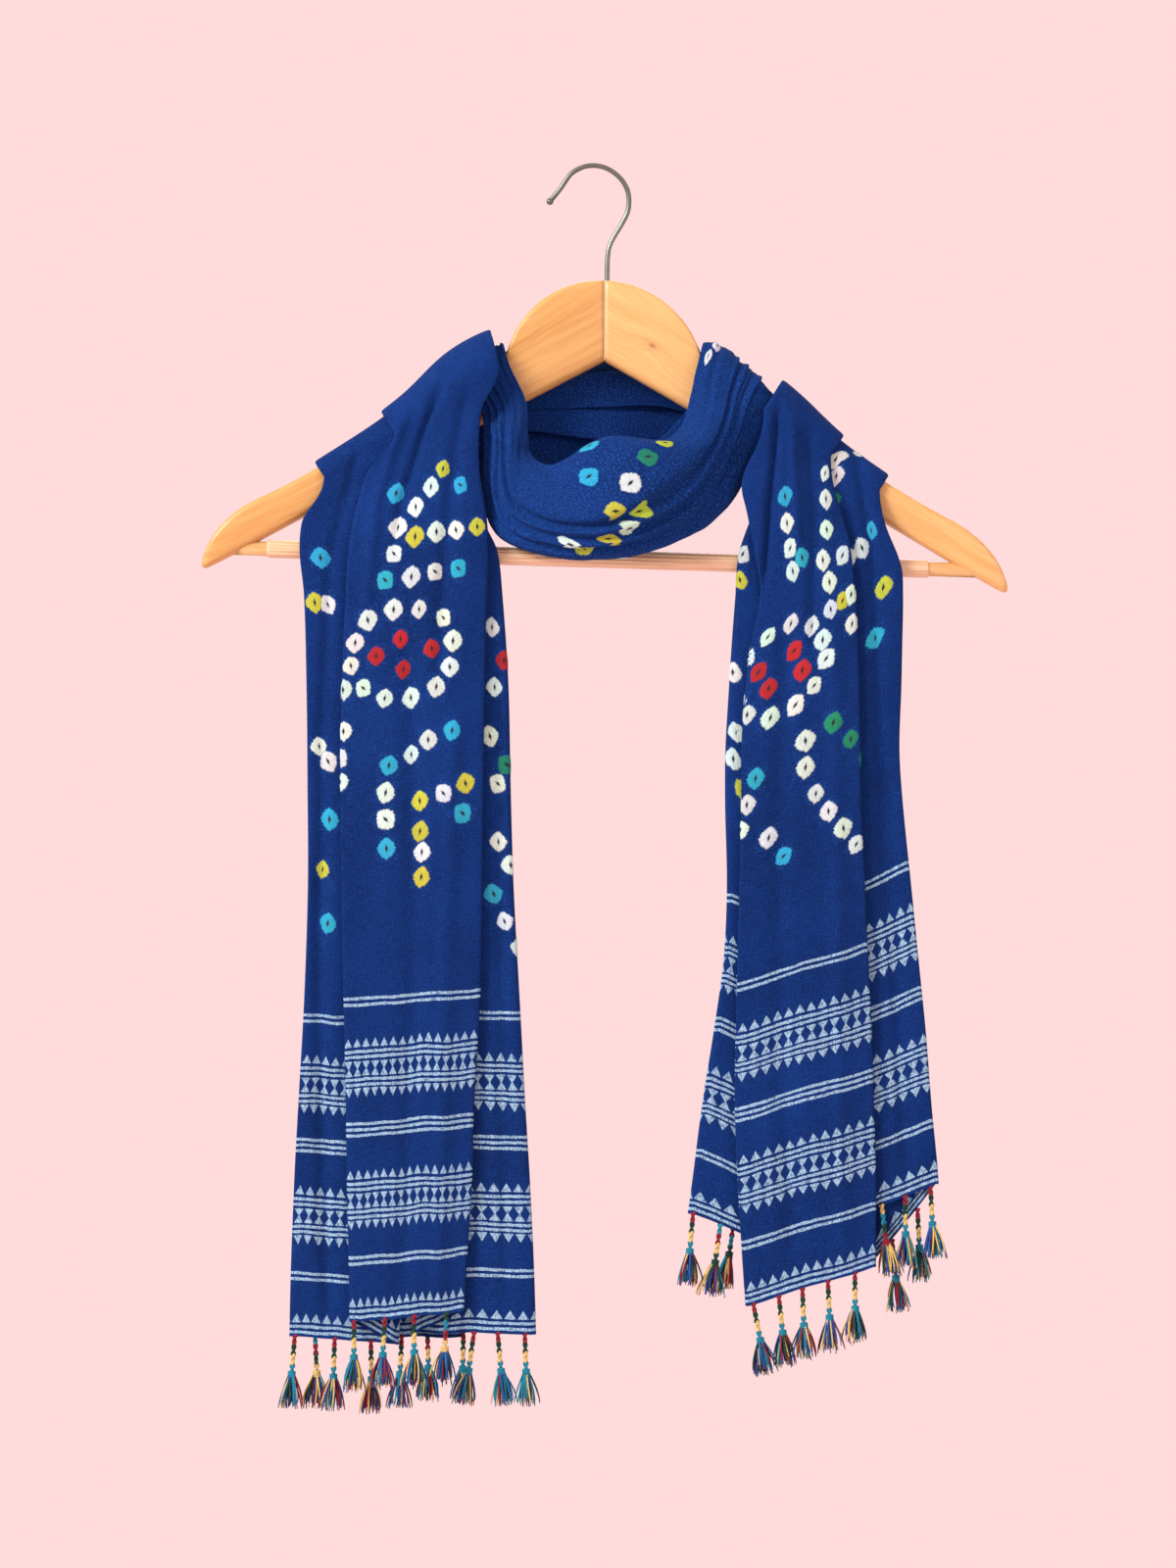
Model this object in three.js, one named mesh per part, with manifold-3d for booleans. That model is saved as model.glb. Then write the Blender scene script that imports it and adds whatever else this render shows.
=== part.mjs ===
// A long woven shawl with tasselled ends, wound once round the neck of a wooden clothes hanger.
// Millimetres, +Z up, front towards -Y. The origin is the inside top of the hanger's hook.
import * as THREE from "three";
import { mergeVertices } from "three/addons/utils/BufferGeometryUtils.js";
import Module from "manifold-3d";

const wasm = await Module();
wasm.setup();

// ---- Driving dimensions ---------------------------------------------------------------------

const WALL = 1; // the cloth
const SEAM = 0.3; // gap between neighbouring pieces

const HANGER = {
  middle: 8.1, // X of the mitre between the two wings
  crown: -63, // Z of the wood's highest point
  dome: 56, // radius of the round neck
  neck: 54, // half width of the round neck, where the shoulders start
  slope: 0.66, // fall of the shoulders for each mm outwards
  lean: 0.0306, // extra fall to the right: the hanger hangs a little askew
  sweep: 0.105, // how far the wings come forward for each mm outwards
  half: 6.5, // half the wood's thickness
  bevel: 3.8,
  round: 7.2, // radius of cloth that just clears the bevelled top edge
};

const HOOK = { wire: 1.4, knob: 2, sunk: 14, bore: 1.75 };
const BAR = { drop: 156.4, radius: 4, reach: 211 };
const SLEEVE = { radius: 5, bore: 4.3, left: -187, right: 179.4 };
const TASSEL = { stem: 21, stemRadius: 1.2, head: 2.6, strand: 18, strandRadius: 1, strands: 4 };

const LAYER_STEP = { packed: 1.7, loose: 2.6, behind: 2 }; // from one layer of cloth to the next
const TURN_OVER = THREE.MathUtils.degToRad(117); // where the pieces meet, just behind the hanger's top edge

// ---- Tables ---------------------------------------------------------------------------------

// Rows of numbers under named columns.
function table(columns, rows) {
  const names = columns.split(" ");
  return rows.map((row) => Object.fromEntries(names.map((name, i) => [name, row[i]])));
}

// The value of one column where the key column reads `at`, on a smooth line through the rows.
function read(rows, key, at, column) {
  const rising = rows[rows.length - 1][key] > rows[0][key];
  const before = (row) => (rising ? row[key] <= at : row[key] >= at);
  const i = rows.findLastIndex(before);
  if (i < 0) return rows[0][column];
  if (i >= rows.length - 1) return rows[rows.length - 1][column];
  const slope = (k) => {
    const a = rows[Math.max(k - 1, 0)];
    const b = rows[Math.min(k + 1, rows.length - 1)];
    return (b[column] - a[column]) / (b[key] - a[key]);
  };
  const span = rows[i + 1][key] - rows[i][key];
  const t = (at - rows[i][key]) / span;
  const start = rows[i][column] * (2 * t ** 3 - 3 * t ** 2 + 1);
  const end = rows[i + 1][column] * (3 * t ** 2 - 2 * t ** 3);
  const bend = slope(i) * (t ** 3 - 2 * t ** 2 + t) + slope(i + 1) * (t ** 3 - t ** 2);
  return start + end + bend * span;
}

// The wood beyond the shoulders, measured outwards and down from the crown.
const WING_TIP = table("out top foot half", [
  [157, 109.2, 132.5, 6.5],
  [180, 122.5, 145.7, 6.5],
  [197, 131.4, 155.5, 6.5],
  [206, 138, 160.6, 6.3],
  [213, 145, 164.4, 5.8],
  [218, 152, 167, 5],
  [221, 158.5, 168.2, 4],
  [222.6, 163, 167.6, 2.8],
]);
const WING_FOOT = { middle: 45, slope: 0.557 }; // the wood's lower edge near the neck

const HOOK_LINE = table("x z", [
  [-22.3, -18.6],
  [-16.8, -11.9],
  [-10.4, -3.1],
  [-4.1, 0.5],
  [0.7, 1.4],
  [6.3, 0.9],
  [11.9, -1.5],
  [17.5, -6.3],
  [21, -12.6],
  [21.8, -19],
  [21, -24.6],
  [17.5, -31.7],
  [12.7, -39.7],
  [10.7, -44.4],
  [9.9, -50],
  [9.6, -62.7],
]);

// The shawl lies in seven layers, folded back and forth like a fan. Order 0 touches the hanger.
const LAYERS = table("order steps", [
  [1, 2], // tucked behind, at the far edge
  [2, 5], // side panel, far
  [3, 3],
  [4, 5], // front panel
  [3, 3],
  [2, 2], // side panel, near
  [0, 4], // tucked behind, at the near edge
]);

// X of the folds down each hanging end: far and near edge, and the edges of the front panel.
const LEFT_FOLDS = table("z far frontFar frontNear near", [
  [-100, -148, -113, -53, -60],
  [-138, -149, -117, -60, -63.5],
  [-168, -150.5, -123, -61, -64.5],
  [-198, -158.6, -130, -57, -59],
  [-215, -160, -132.7, -56, -51.5],
  [-240, -157.5, -134.3, -57, -48.5],
  [-290, -156.1, -136.4, -58.2, -45.2],
  [-345, -155.5, -137, -59, -44],
  [-400, -155.3, -136.5, -59.7, -42.4],
  [-463, -157.5, -135.5, -60.7, -39],
  [-523, -161, -134.4, -64.3, -35.8],
  [-561, -163.1, -133.9, -65.1, -33.5],
  [-610, -165, -132.8, -68.3, -31.2],
  [-655, -166, -132.2, -71, -29.8],
]);
const RIGHT_FOLDS = table("z far frontFar frontNear near", [
  [-130, 162, 136, 100, 101],
  [-150, 163.5, 136, 88, 99],
  [-172, 164.5, 136.5, 82, 95],
  [-195, 167, 140.5, 86.7, 89.5],
  [-217, 171.5, 143.5, 91, 82.4],
  [-240, 172.4, 146, 94, 80.5],
  [-266, 172, 147.3, 88.9, 78.5],
  [-290, 171.5, 148, 86, 77],
  [-325, 170.5, 148.6, 83.5, 75],
  [-355, 172.4, 149, 83.5, 74.8],
  [-400, 177, 151.3, 82.5, 75.8],
  [-440, 181, 153, 81.5, 74],
  [-480, 185, 155, 80.5, 68.6],
  [-520, 188.2, 156.2, 80, 62.3],
  [-560, 192, 157.4, 81.5, 57.2],
  [-600, 194, 157.5, 83.8, 52],
  [-635, 195, 157.5, 86.2, 50],
]);

// How far the innermost layer stands off the wood along each shoulder, where cloth lies on cloth.
const LEFT_LIFT = table("x lift", [
  [-152, -0.1],
  [-120, 0.2],
  [-106, 1.1],
  [-96, 2.4],
  [-88, 4.2],
  [-80, 6.7],
  [-72, 9.2],
  [-64, 10.3],
  [-56, 10],
  [-50, 8.8],
  [-46, 7.6],
]);
const RIGHT_LIFT = table("x lift", [
  [92, 7.6],
  [100, 6.8],
  [110, 5.2],
  [120, 3],
  [130, 1.1],
  [140, 0.3],
  [152, 0],
  [165, 0],
]);

// The edges of the seven layers, from the tuck at the far edge to the tuck at the near edge.
const EDGES = ["tuckFar", "far", "innerFar", "frontFar", "frontNear", "innerNear", "near", "tuckNear"];
const edges = (...values) => Object.fromEntries(EDGES.map((name, i) => [name, values[i]]));

// Each hanging end: X of its folds where it crosses the shoulder, and Z of its hem below each fold.
const LEFT = {
  folds: LEFT_FOLDS,
  lift: LEFT_LIFT,
  crest: edges(-96, -147, -81, -108, -50, -73, -58, -101),
  hem: edges(-650, -649, -653, -640.4, -635, -647, -648, -646),
  tuck: { far: 0.7, near: 0.7 },
  settle: 0.9, // how much of the way down to the bar the layers take to loosen
  drawn: 26, // how far below the shoulder the folds reach their own places
};
const RIGHT = {
  folds: RIGHT_FOLDS,
  lift: RIGHT_LIFT,
  crest: edges(138, 160, 118.5, 133, 96, 110.5, 98, 120),
  hem: edges(-607, -565, -590, -610, -631.7, -605, -581, -592),
  tuck: { far: 0.26, near: 0.62 },
  settle: 0.55,
  drawn: 50,
};
const HANG = {
  bar: -28.2, // Y of the innermost layer, against the bar
  barZ: -216,
  hem: -25.5,
  fall: 420, // how far below the bar the layers reach the Y of the hem
  inner: 4, // half the space between the two inner folds
  bow: 2.4, // how far the front panel rounds forward
  billow: 2.2,
  billowWave: 88,
};

// The two crossings beside the neck, where the shawl turns between its back stretches and the loop.
const NECK_LEFT = {
  lift: table("x lift", [
    [-67, 1.2],
    [-55, 1.2],
    [-51, 0.2],
    [-45, -1],
  ]),
  crest: edges(-58, -66, -59.5, -64, -46, -56.5, -51, -61),
};
const NECK_RIGHT = {
  lift: table("x lift", [
    [60, 2.6],
    [93, 2.6],
  ]),
  crest: edges(70, 92, 79, 87, 61, 73, 64, 86),
};

// Sections of the two stretches behind the neck, from the near (upper) edge to the far (lower) edge.
const BACK_INNER = table("nearX nearZ nearY farX farZ farY", [
  [-48, -124, 12, -127, -187, -4],
  [-38, -134, 13.6, -90, -194, 2],
  [-18, -141, 15.8, -42, -194, 10],
  [6, -147, 17, 2, -190, 14],
  [30, -154.5, 10, 36, -190, 9.6],
  [53, -136, 4.8, 72, -166, 4.8],
]);
const BACK_OUTER = table("nearX nearZ nearY farX farZ farY", [
  [-38, -116, 3.4, -57, -141, 0.9],
  [-14, -110, 5.9, -26, -147, 5.2],
  [10, -106, 8.4, 8, -151, 8.6],
  [36, -109, 12.8, 44, -151.5, 18.6],
  [62, -122, 15, 84, -163, 16],
  [82, -133, 11.2, 122, -181, 2.9],
]);

// The loop in front, line by line across the cloth. Where each line crosses the right shoulder
// (X and lift), passes the right arm (X and Y), hangs lowest (Z and Y), passes the left arm and
// crosses the left shoulder. `rise` is 1 for the lip, which hangs low on the left and rises on the right.
const LOOP_COLUMNS = "rightX rightLift armRightX armRightY lowZ lowY rise armLeftX armLeftY leftX leftLift";
const LOOP = table(LOOP_COLUMNS, [
  [69, 4.4, 60, -20.5, -186, -36, 0.5, -42.8, -22, -56, 3.6],
  [62.5, 4.2, 50.5, -20.5, -175, -36.5, 0.85, -38, -21.5, -48, 3.4],
  [60, 6.2, 46.5, -25.5, -169, -42, 1, -34.5, -26, -45.5, 4.4],
  [62, 9, 49.5, -33.5, -173.5, -49, 0.95, -35.5, -32, -47.5, 5],
  [66.5, 11, 56.5, -39.5, -182, -57, 0.7, -39, -36.5, -50.5, 5.6],
  [72, 11.6, 63.5, -41.5, -191, -62.5, 0.42, -42.3, -38.5, -54, 6],
  [76.5, 11.3, 68.5, -40.5, -200, -66, 0.2, -45, -38, -57, 6],
  [78.5, 9.4, 69.5, -36.4, -202.8, -61.5, 0.14, -46, -34.2, -58.5, 4.8],
  [82, 10.2, 74.5, -36.4, -207.3, -64.3, 0.07, -50, -34.5, -60.2, 5.6],
  [83.8, 8.4, 75, -32.2, -209.3, -59, 0.05, -50.5, -30.8, -61.4, 4.4],
  [87.3, 8.6, 80.5, -30.6, -213.5, -60.5, 0.02, -54, -30, -63.2, 4.9],
  [89.5, 6.8, 82, -26.4, -214.5, -54.5, 0, -54, -26.5, -64.2, 3.6],
  [97, 3.3, 91.5, -22.8, -219, -52.5, 0, -58.5, -24, -66.2, 3.5],
  [100.5, 2.2, 96.5, -19.6, -220.4, -44, 0, -58, -20, -66.6, 2.2],
  [97, 1.3, 93, -17.3, -216.5, -37, 0, -52, -17, -64.6, 1.2],
  [88, 1.3, 84, -16.4, -208, -32, 0, -45.5, -16, -61, 1.2],
  [78, 1.3, 74, -15.8, -197, -30, 0, -41, -15.6, -58, 1.2],
  [69, 1.3, 64, -15.4, -186, -30, 0, -37, -15.4, -55, 1.2],
]);
const LOOP_ARM = { right: -152, left: -150 };
const LOOP_UNDER = { down: 0.55, across: 0.85, forward: 0.12 }; // on the way to the left arm, under the tail
const LOOP_LOW = { even: 6, risen: -22 }; // X where a line hangs lowest
const LOOP_CORNER = {
  right: { across: 0.69, down: 0.68, forward: 0.5 },
  rightRisen: { across: 0.42, down: 0.12, forward: 1.4 },
  left: { across: 0.9, down: 0.78, forward: 0.3 },
  leftRisen: { across: 0.9, down: 0.53, forward: 0.36 },
};

// Tassels below the hems: which layer each hangs from, where along it, and how far it sways.
const TASSELS_LEFT = table("layer x sway", [
  [1, -163, -1.5],
  [1, -141, -0.5],
  [1, -121, 0.5],
  [3, -130, 0.3],
  [3, -113, -0.8],
  [3, -97, 0.6],
  [3, -79, -0.8],
  [5, -64, -3],
  [5, -51, 2],
  [5, -36, 0.8],
  [0, -152, 1],
  [0, -104, -1],
  [6, -90, 0.5],
  [6, -70, -0.5],
]);
const TASSELS_RIGHT = table("layer x sway", [
  [5, 57, -2],
  [5, 72, -3],
  [6, 80, -3],
  [3, 90, 4],
  [3, 104, 2],
  [3, 117, 0.5],
  [3, 131, 0.6],
  [3, 146, -0.4],
  [1, 161, 2.5],
  [1, 174, 0],
  [1, 188, 0.8],
  [0, 167, 2],
  [0, 181, 1],
  [6, 98, -1],
]);

// ---- The hanger's surfaces ------------------------------------------------------------------

const outwards = (x) => Math.abs(x - HANGER.middle);
const woodY = (x) => -HANGER.sweep * outwards(x);
const neckDrop = HANGER.dome - Math.sqrt(HANGER.dome ** 2 - HANGER.neck ** 2);
const shoulderDrop = (out) => neckDrop + HANGER.slope * (out - HANGER.neck);
const leaning = (x, drop) => HANGER.crown - drop - HANGER.lean * (x - HANGER.middle);
const smooth = (t) => THREE.MathUtils.smoothstep(t, 0, 1);
const mix = THREE.MathUtils.lerp;

// Z of the line that the cloth turns about as it crosses the shoulder.
const turningZ = (x) =>
  leaning(x, shoulderDrop(outwards(x))) - HANGER.half * Math.hypot(1, HANGER.slope);

// How the cloth leans near the neck, where the wood is domed: its slope, and where it gives way.
const DOME = { slope: 0.25, edge: 60, blend: 35 };

// A point of cloth over a wing: `turn` is 0 on the front, a quarter turn on top, a half turn behind.
function overWing(x, lift, turn) {
  const steep = mix(DOME.slope, HANGER.slope, smooth((outwards(x) - DOME.edge) / DOME.blend));
  const up = new THREE.Vector3(Math.sign(x - HANGER.middle) * steep, 0, 1).normalize();
  const reach = HANGER.round + lift;
  return new THREE.Vector3(x, woodY(x) - reach * Math.cos(turn), turningZ(x)).addScaledVector(
    up,
    reach * Math.sin(turn),
  );
}

// ---- Cloth ----------------------------------------------------------------------------------

// One section across the cloth: where each point lies between the edges, and in which layer.
function acrossSection(edges, step) {
  const points = [];
  const turnRadius = (i) => (Math.abs(LAYERS[i].order - LAYERS[i + 1].order) * step) / 2;
  LAYERS.forEach(({ order, steps }, i) => {
    const way = Math.sign(edges[i + 1] - edges[i]);
    const from = edges[i] + (i > 0 ? way * turnRadius(i - 1) : 0);
    const to = edges[i + 1] - (i < LAYERS.length - 1 ? way * turnRadius(i) : 0);
    for (let k = 0; k <= steps; k++) {
      points.push({ at: mix(from, to, k / steps), order, layer: i, t: k / steps });
    }
    if (i < LAYERS.length - 1) {
      points.push({ at: edges[i + 1], order: (order + LAYERS[i + 1].order) / 2, layer: i, t: 1 });
    }
  });
  return points;
}

const listed = (named) => EDGES.map((name) => named[name]);

// The folds of a hanging end at the height z.
function foldsAt(end, z) {
  const [far, frontFar, frontNear, near] = ["far", "frontFar", "frontNear", "near"].map((name) =>
    read(end.folds, "z", z, name),
  );
  const middle = (frontFar + frontNear) / 2;
  const outer = Math.sign(far - near) * HANG.inner;
  return listed({
    tuckFar: mix(far, near, end.tuck.far),
    far,
    innerFar: middle + outer,
    frontFar,
    frontNear,
    innerNear: middle - outer,
    near,
    tuckNear: mix(near, far, end.tuck.near),
  });
}

// How far the layers have loosened at the height z below a shoulder whose turning line is at `top`.
const loosening = (end, top, z) => smooth((top - z) / (top - HANG.barZ) / end.settle);

// Y of a layer at (x, z): against the wood at the shoulder, then free or against the bar.
function hangingY(end, x, z, order) {
  const below = smooth((HANG.barZ - z) / HANG.fall);
  const wave = HANG.billow * below * Math.sin((z - HANG.barZ) / HANG.billowWave);
  const free = mix(HANG.bar, HANG.hem, below) + wave - order * LAYER_STEP.loose;
  const onWing = overWing(x, read(end.lift, "x", x, "lift") + order * LAYER_STEP.packed, 0);
  return mix(onWing.y, free, loosening(end, turningZ(x), z));
}

// One point of a hanging end: `k` counts across the section, `down` runs from the shoulder to the hem.
function hangingPoint(end, k, down) {
  const crest = acrossSection(listed(end.crest), LAYER_STEP.packed)[k];
  const hems = listed(end.hem);
  const top = turningZ(crest.at);
  const hem = mix(hems[crest.layer], hems[crest.layer + 1], crest.t);
  const z = mix(top, hem, down);
  const loosened = loosening(end, top, z);
  const step = mix(LAYER_STEP.packed, LAYER_STEP.loose, loosened);
  const here = acrossSection(foldsAt(end, z), step)[k];
  const x = mix(crest.at, here.at, smooth((top - z) / end.drawn));
  const bow = crest.layer === 3 ? HANG.bow * Math.sin(Math.PI * crest.t) * loosened : 0;
  return new THREE.Vector3(x, hangingY(end, x, z, crest.order) - bow, z);
}

// A row of the section where the cloth crosses a shoulder. `gap` leaves room to the next piece.
function crossingRow(crossing, turn, gap = 0) {
  return acrossSection(listed(crossing.crest), LAYER_STEP.packed).map(({ at, order }) => {
    const lift = read(crossing.lift, "x", at, "lift") + order * LAYER_STEP.packed;
    return overWing(at, lift, turn + gap / (HANGER.round + lift));
  });
}

const HANG_ROWS = [1, 0.86, 0.72, 0.58, 0.46, 0.36, 0.28, 0.22, 0.17, 0.13, 0.1, 0.072, 0.046, 0.022];
const TURN_ROWS = [0, 30, 60, 90].map(THREE.MathUtils.degToRad);

function hangingEnd(end) {
  const count = acrossSection(listed(end.crest), LAYER_STEP.packed).length;
  const hanging = HANG_ROWS.map((down) =>
    Array.from({ length: count }, (_, k) => hangingPoint(end, k, down)),
  );
  const turning = TURN_ROWS.map((turn) => crossingRow(end, turn));
  return [...hanging, ...turning, crossingRow(end, TURN_OVER, -SEAM / 2)];
}

// The folds of a crossing as parts of the way from the near edge to the far edge.
function foldParts({ crest }) {
  return listed(crest).map((x) => (x - crest.frontNear) / (crest.far - crest.frontNear));
}

// A stretch behind the neck, from one crossing to another.
function backStretch(from, to, sections) {
  const start = foldParts(from);
  const end = foldParts(to);
  const rows = sections.map((s, i) => {
    const near = new THREE.Vector3(s.nearX, s.nearY, s.nearZ);
    const far = new THREE.Vector3(s.farX, s.farY, s.farZ);
    const width = near.distanceTo(far);
    const along = (i + 1) / (sections.length + 1);
    const edges = start.map((part, k) => mix(part, end[k], along) * width);
    return acrossSection(edges, LAYER_STEP.behind).map(({ at, order }) => {
      const p = near.clone().lerp(far, at / width);
      p.y += order * LAYER_STEP.behind;
      return p;
    });
  });
  const [halfway, behind] = [150, 180].map(THREE.MathUtils.degToRad);
  return [
    crossingRow(from, TURN_OVER, SEAM / 2),
    crossingRow(from, halfway),
    crossingRow(from, behind),
    ...rows,
    crossingRow(to, behind),
    crossingRow(to, halfway),
    crossingRow(to, TURN_OVER, SEAM / 2),
  ];
}

// One line of the front loop, from the right crossing round to the left one.
function loopLine(line) {
  const crossing = (x, lift) => (turn, gap = 0) => overWing(x, lift, turn - gap / (HANGER.round + lift));
  const right = crossing(line.rightX, line.rightLift);
  const left = crossing(line.leftX, line.leftLift);
  const armRight = new THREE.Vector3(line.armRightX, line.armRightY, LOOP_ARM.right);
  const armLeft = new THREE.Vector3(line.armLeftX, line.armLeftY, LOOP_ARM.left);
  const underEnd = left(0).lerp(armLeft, LOOP_UNDER.down);
  underEnd.x = mix(line.leftX, line.armLeftX, LOOP_UNDER.across);
  underEnd.y = mix(left(0).y, armLeft.y, LOOP_UNDER.forward);
  const low = new THREE.Vector3(mix(LOOP_LOW.even, LOOP_LOW.risen, line.rise), line.lowY, line.lowZ);
  const corner = (arm, even, risen) =>
    new THREE.Vector3(
      mix(low.x, arm.x, mix(even.across, risen.across, line.rise)),
      mix(arm.y, low.y, mix(even.forward, risen.forward, line.rise)),
      mix(arm.z, low.z, mix(even.down, risen.down, line.rise)),
    );
  const [first, second, third] = [80, 40, 0].map(THREE.MathUtils.degToRad);
  return new THREE.CatmullRomCurve3([
    right(TURN_OVER, SEAM),
    right(first),
    right(second),
    right(third),
    armRight,
    corner(armRight, LOOP_CORNER.right, LOOP_CORNER.rightRisen),
    low,
    corner(armLeft, LOOP_CORNER.left, LOOP_CORNER.leftRisen),
    armLeft,
    underEnd,
    left(third),
    left(second),
    left(first),
    left(TURN_OVER, SEAM),
  ]);
}

const LOOP_ROWS = [
  0, 1, 2, 3, 3.5, 4, 4.5, 5, 5.33, 5.67, 6, 6.33, 6.67, 7, 7.5, 8, 8.5, 9, 9.5, 10, 11, 12, 13,
];

function frontLoop() {
  const lines = LOOP.map(loopLine);
  const last = lines[0].points.length - 1;
  return LOOP_ROWS.map((row) => lines.map((line) => line.getPoint(row / last)));
}

// The unit normal of the cloth at a grid point, lengthened at folds so that the wall keeps its thickness.
function wallNormal(rows, i, j) {
  const along = new THREE.Vector3().subVectors(
    rows[Math.min(i + 1, rows.length - 1)][j],
    rows[Math.max(i - 1, 0)][j],
  );
  const row = rows[i];
  const sides = [];
  if (j > 0) sides.push(new THREE.Vector3().subVectors(row[j], row[j - 1]).cross(along).normalize());
  if (j < row.length - 1) sides.push(new THREE.Vector3().subVectors(row[j + 1], row[j]).cross(along).normalize());
  const normal = sides.reduce((sum, side) => sum.add(side), new THREE.Vector3()).normalize();
  return normal.multiplyScalar(1 / Math.max(normal.dot(sides[0]), 0.65));
}

function geometryOf(points, faces) {
  const geometry = new THREE.BufferGeometry();
  geometry.setAttribute("position", new THREE.Float32BufferAttribute(points.flatMap((p) => p.toArray()), 3));
  geometry.setIndex(faces.flat());
  geometry.computeVertexNormals();
  return geometry;
}

// Six times the volume that the faces enclose, negative when they point inwards.
function signedVolume(points, faces) {
  return faces.reduce((sum, [a, b, c]) => sum + points[a].dot(points[b].clone().cross(points[c])), 0);
}

// A closed wall of even thickness on a grid of points.
function clothWall(rows) {
  const height = rows.length;
  const width = rows[0].length;
  const skin = (side) =>
    rows.flatMap((row, i) => row.map((p, j) => p.clone().addScaledVector(wallNormal(rows, i, j), (side * WALL) / 2)));
  const points = [...skin(1), ...skin(-1)];
  const outer = (i, j) => i * width + j;
  const inner = (i, j) => height * width + outer(i, j);
  const faces = [];
  const quad = (a, b, c, d) => faces.push([a, b, c], [a, c, d]);
  for (let i = 0; i < height - 1; i++) {
    for (let j = 0; j < width - 1; j++) {
      quad(outer(i, j), outer(i, j + 1), outer(i + 1, j + 1), outer(i + 1, j));
      quad(inner(i, j), inner(i + 1, j), inner(i + 1, j + 1), inner(i, j + 1));
    }
  }
  for (let i = 0; i < height - 1; i++) {
    quad(outer(i, 0), outer(i + 1, 0), inner(i + 1, 0), inner(i, 0));
    quad(outer(i + 1, width - 1), outer(i, width - 1), inner(i, width - 1), inner(i + 1, width - 1));
  }
  for (let j = 0; j < width - 1; j++) {
    quad(outer(0, j + 1), outer(0, j), inner(0, j), inner(0, j + 1));
    quad(outer(height - 1, j), outer(height - 1, j + 1), inner(height - 1, j + 1), inner(height - 1, j));
  }
  if (signedVolume(points, faces) < 0) faces.forEach((face) => face.reverse());
  return geometryOf(points, faces);
}

// ---- Solids ---------------------------------------------------------------------------------

function solid(geometry) {
  const bare = geometry.clone();
  ["normal", "uv"].forEach((name) => bare.deleteAttribute(name));
  const merged = mergeVertices(bare, 1e-4);
  return new wasm.Manifold(
    new wasm.Mesh({
      numProp: 3,
      vertProperties: new Float32Array(merged.attributes.position.array),
      triVerts: new Uint32Array(merged.index.array),
    }),
  );
}

function geometryFrom(manifold) {
  const mesh = manifold.getMesh();
  const geometry = new THREE.BufferGeometry();
  geometry.setAttribute("position", new THREE.BufferAttribute(mesh.vertProperties, 3));
  geometry.setIndex(new THREE.BufferAttribute(mesh.triVerts, 1));
  geometry.computeVertexNormals();
  return geometry;
}

// A closed body through rings of points, with flat ends.
function loft(rings) {
  const count = rings[0].length;
  const points = rings.flat();
  const faces = [];
  for (let i = 0; i < rings.length - 1; i++) {
    for (let j = 0; j < count; j++) {
      const next = (j + 1) % count;
      const [a, b] = [i * count + j, i * count + next];
      faces.push([a, b, b + count], [a, b + count, a + count]);
    }
  }
  const end = (rings.length - 1) * count;
  for (let j = 1; j < count - 1; j++) faces.push([0, j + 1, j], [end, end + j, end + j + 1]);
  if (signedVolume(points, faces) < 0) faces.forEach((face) => face.reverse());
  return geometryOf(points, faces);
}

// A cylinder or prism between two points.
function rod(from, to, radius, sides, endRadius = radius) {
  const way = new THREE.Vector3().subVectors(to, from);
  const geometry = new THREE.CylinderGeometry(endRadius, radius, way.length(), sides);
  const turn = new THREE.Quaternion().setFromUnitVectors(new THREE.Vector3(0, 1, 0), way.clone().normalize());
  geometry.applyQuaternion(turn);
  return geometry.translate(...from.clone().lerp(to, 0.5).toArray());
}

// ---- The hanger -----------------------------------------------------------------------------

const onHanger = (out, drop, y = 0) => {
  const x = HANGER.middle + out;
  return new THREE.Vector3(x, woodY(x) + y, leaning(x, drop));
};

// One ring round a wing, with bevelled corners.
function wingRing(side, { out, top, foot, half }) {
  const bevel = Math.min(HANGER.bevel, half * 0.6, (foot - top) * 0.35);
  return [
    [top, half - bevel],
    [top + bevel, half],
    [foot - bevel, half],
    [foot, half - bevel],
    [foot, bevel - half],
    [foot - bevel, -half],
    [top + bevel, -half],
    [top, bevel - half],
  ].map(([drop, y]) => onHanger(side * out, drop, y));
}

const NECK_ROWS = [SEAM / 2, 8, 16, 24, 32, 40, 46, 50.5, HANGER.neck];
const SHOULDER_ROWS = [75, 110];

function wingSections() {
  const footDrop = (out) => WING_FOOT.middle + WING_FOOT.slope * out;
  const neck = NECK_ROWS.map((out) => ({
    out,
    top: HANGER.dome - Math.sqrt(HANGER.dome ** 2 - out ** 2),
    foot: footDrop(out),
    half: HANGER.half,
  }));
  const shoulder = SHOULDER_ROWS.map((out) => ({
    out,
    top: shoulderDrop(out),
    foot: footDrop(out),
    half: HANGER.half,
  }));
  return [...neck, ...shoulder, ...WING_TIP];
}

function hookCurve() {
  const line = HOOK_LINE.map(({ x, z }) => new THREE.Vector3(x, 0, z));
  const end = line[line.length - 1];
  return new THREE.CatmullRomCurve3([...line, end.clone().setZ(end.z - HOOK.sunk)]);
}

function wing(side) {
  const end = hookCurve().points.at(-1);
  const shank = rod(end.clone().setZ(end.z - SEAM), end.clone().setZ(HANGER.crown + 5), HOOK.bore, 8);
  const dowel = rod(onBar(-BAR.reach - SEAM), onBar(BAR.reach + SEAM), SLEEVE.bore, 16);
  const rings = wingSections().map((section) => wingRing(side, section));
  return geometryFrom(solid(loft(rings)).subtract(solid(shank)).subtract(solid(dowel)));
}

// The bar's centre line, straight between the two wings.
function onBar(out) {
  const x = HANGER.middle + out;
  return new THREE.Vector3(x, -HANGER.sweep * BAR.reach, leaning(x, BAR.drop));
}

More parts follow.
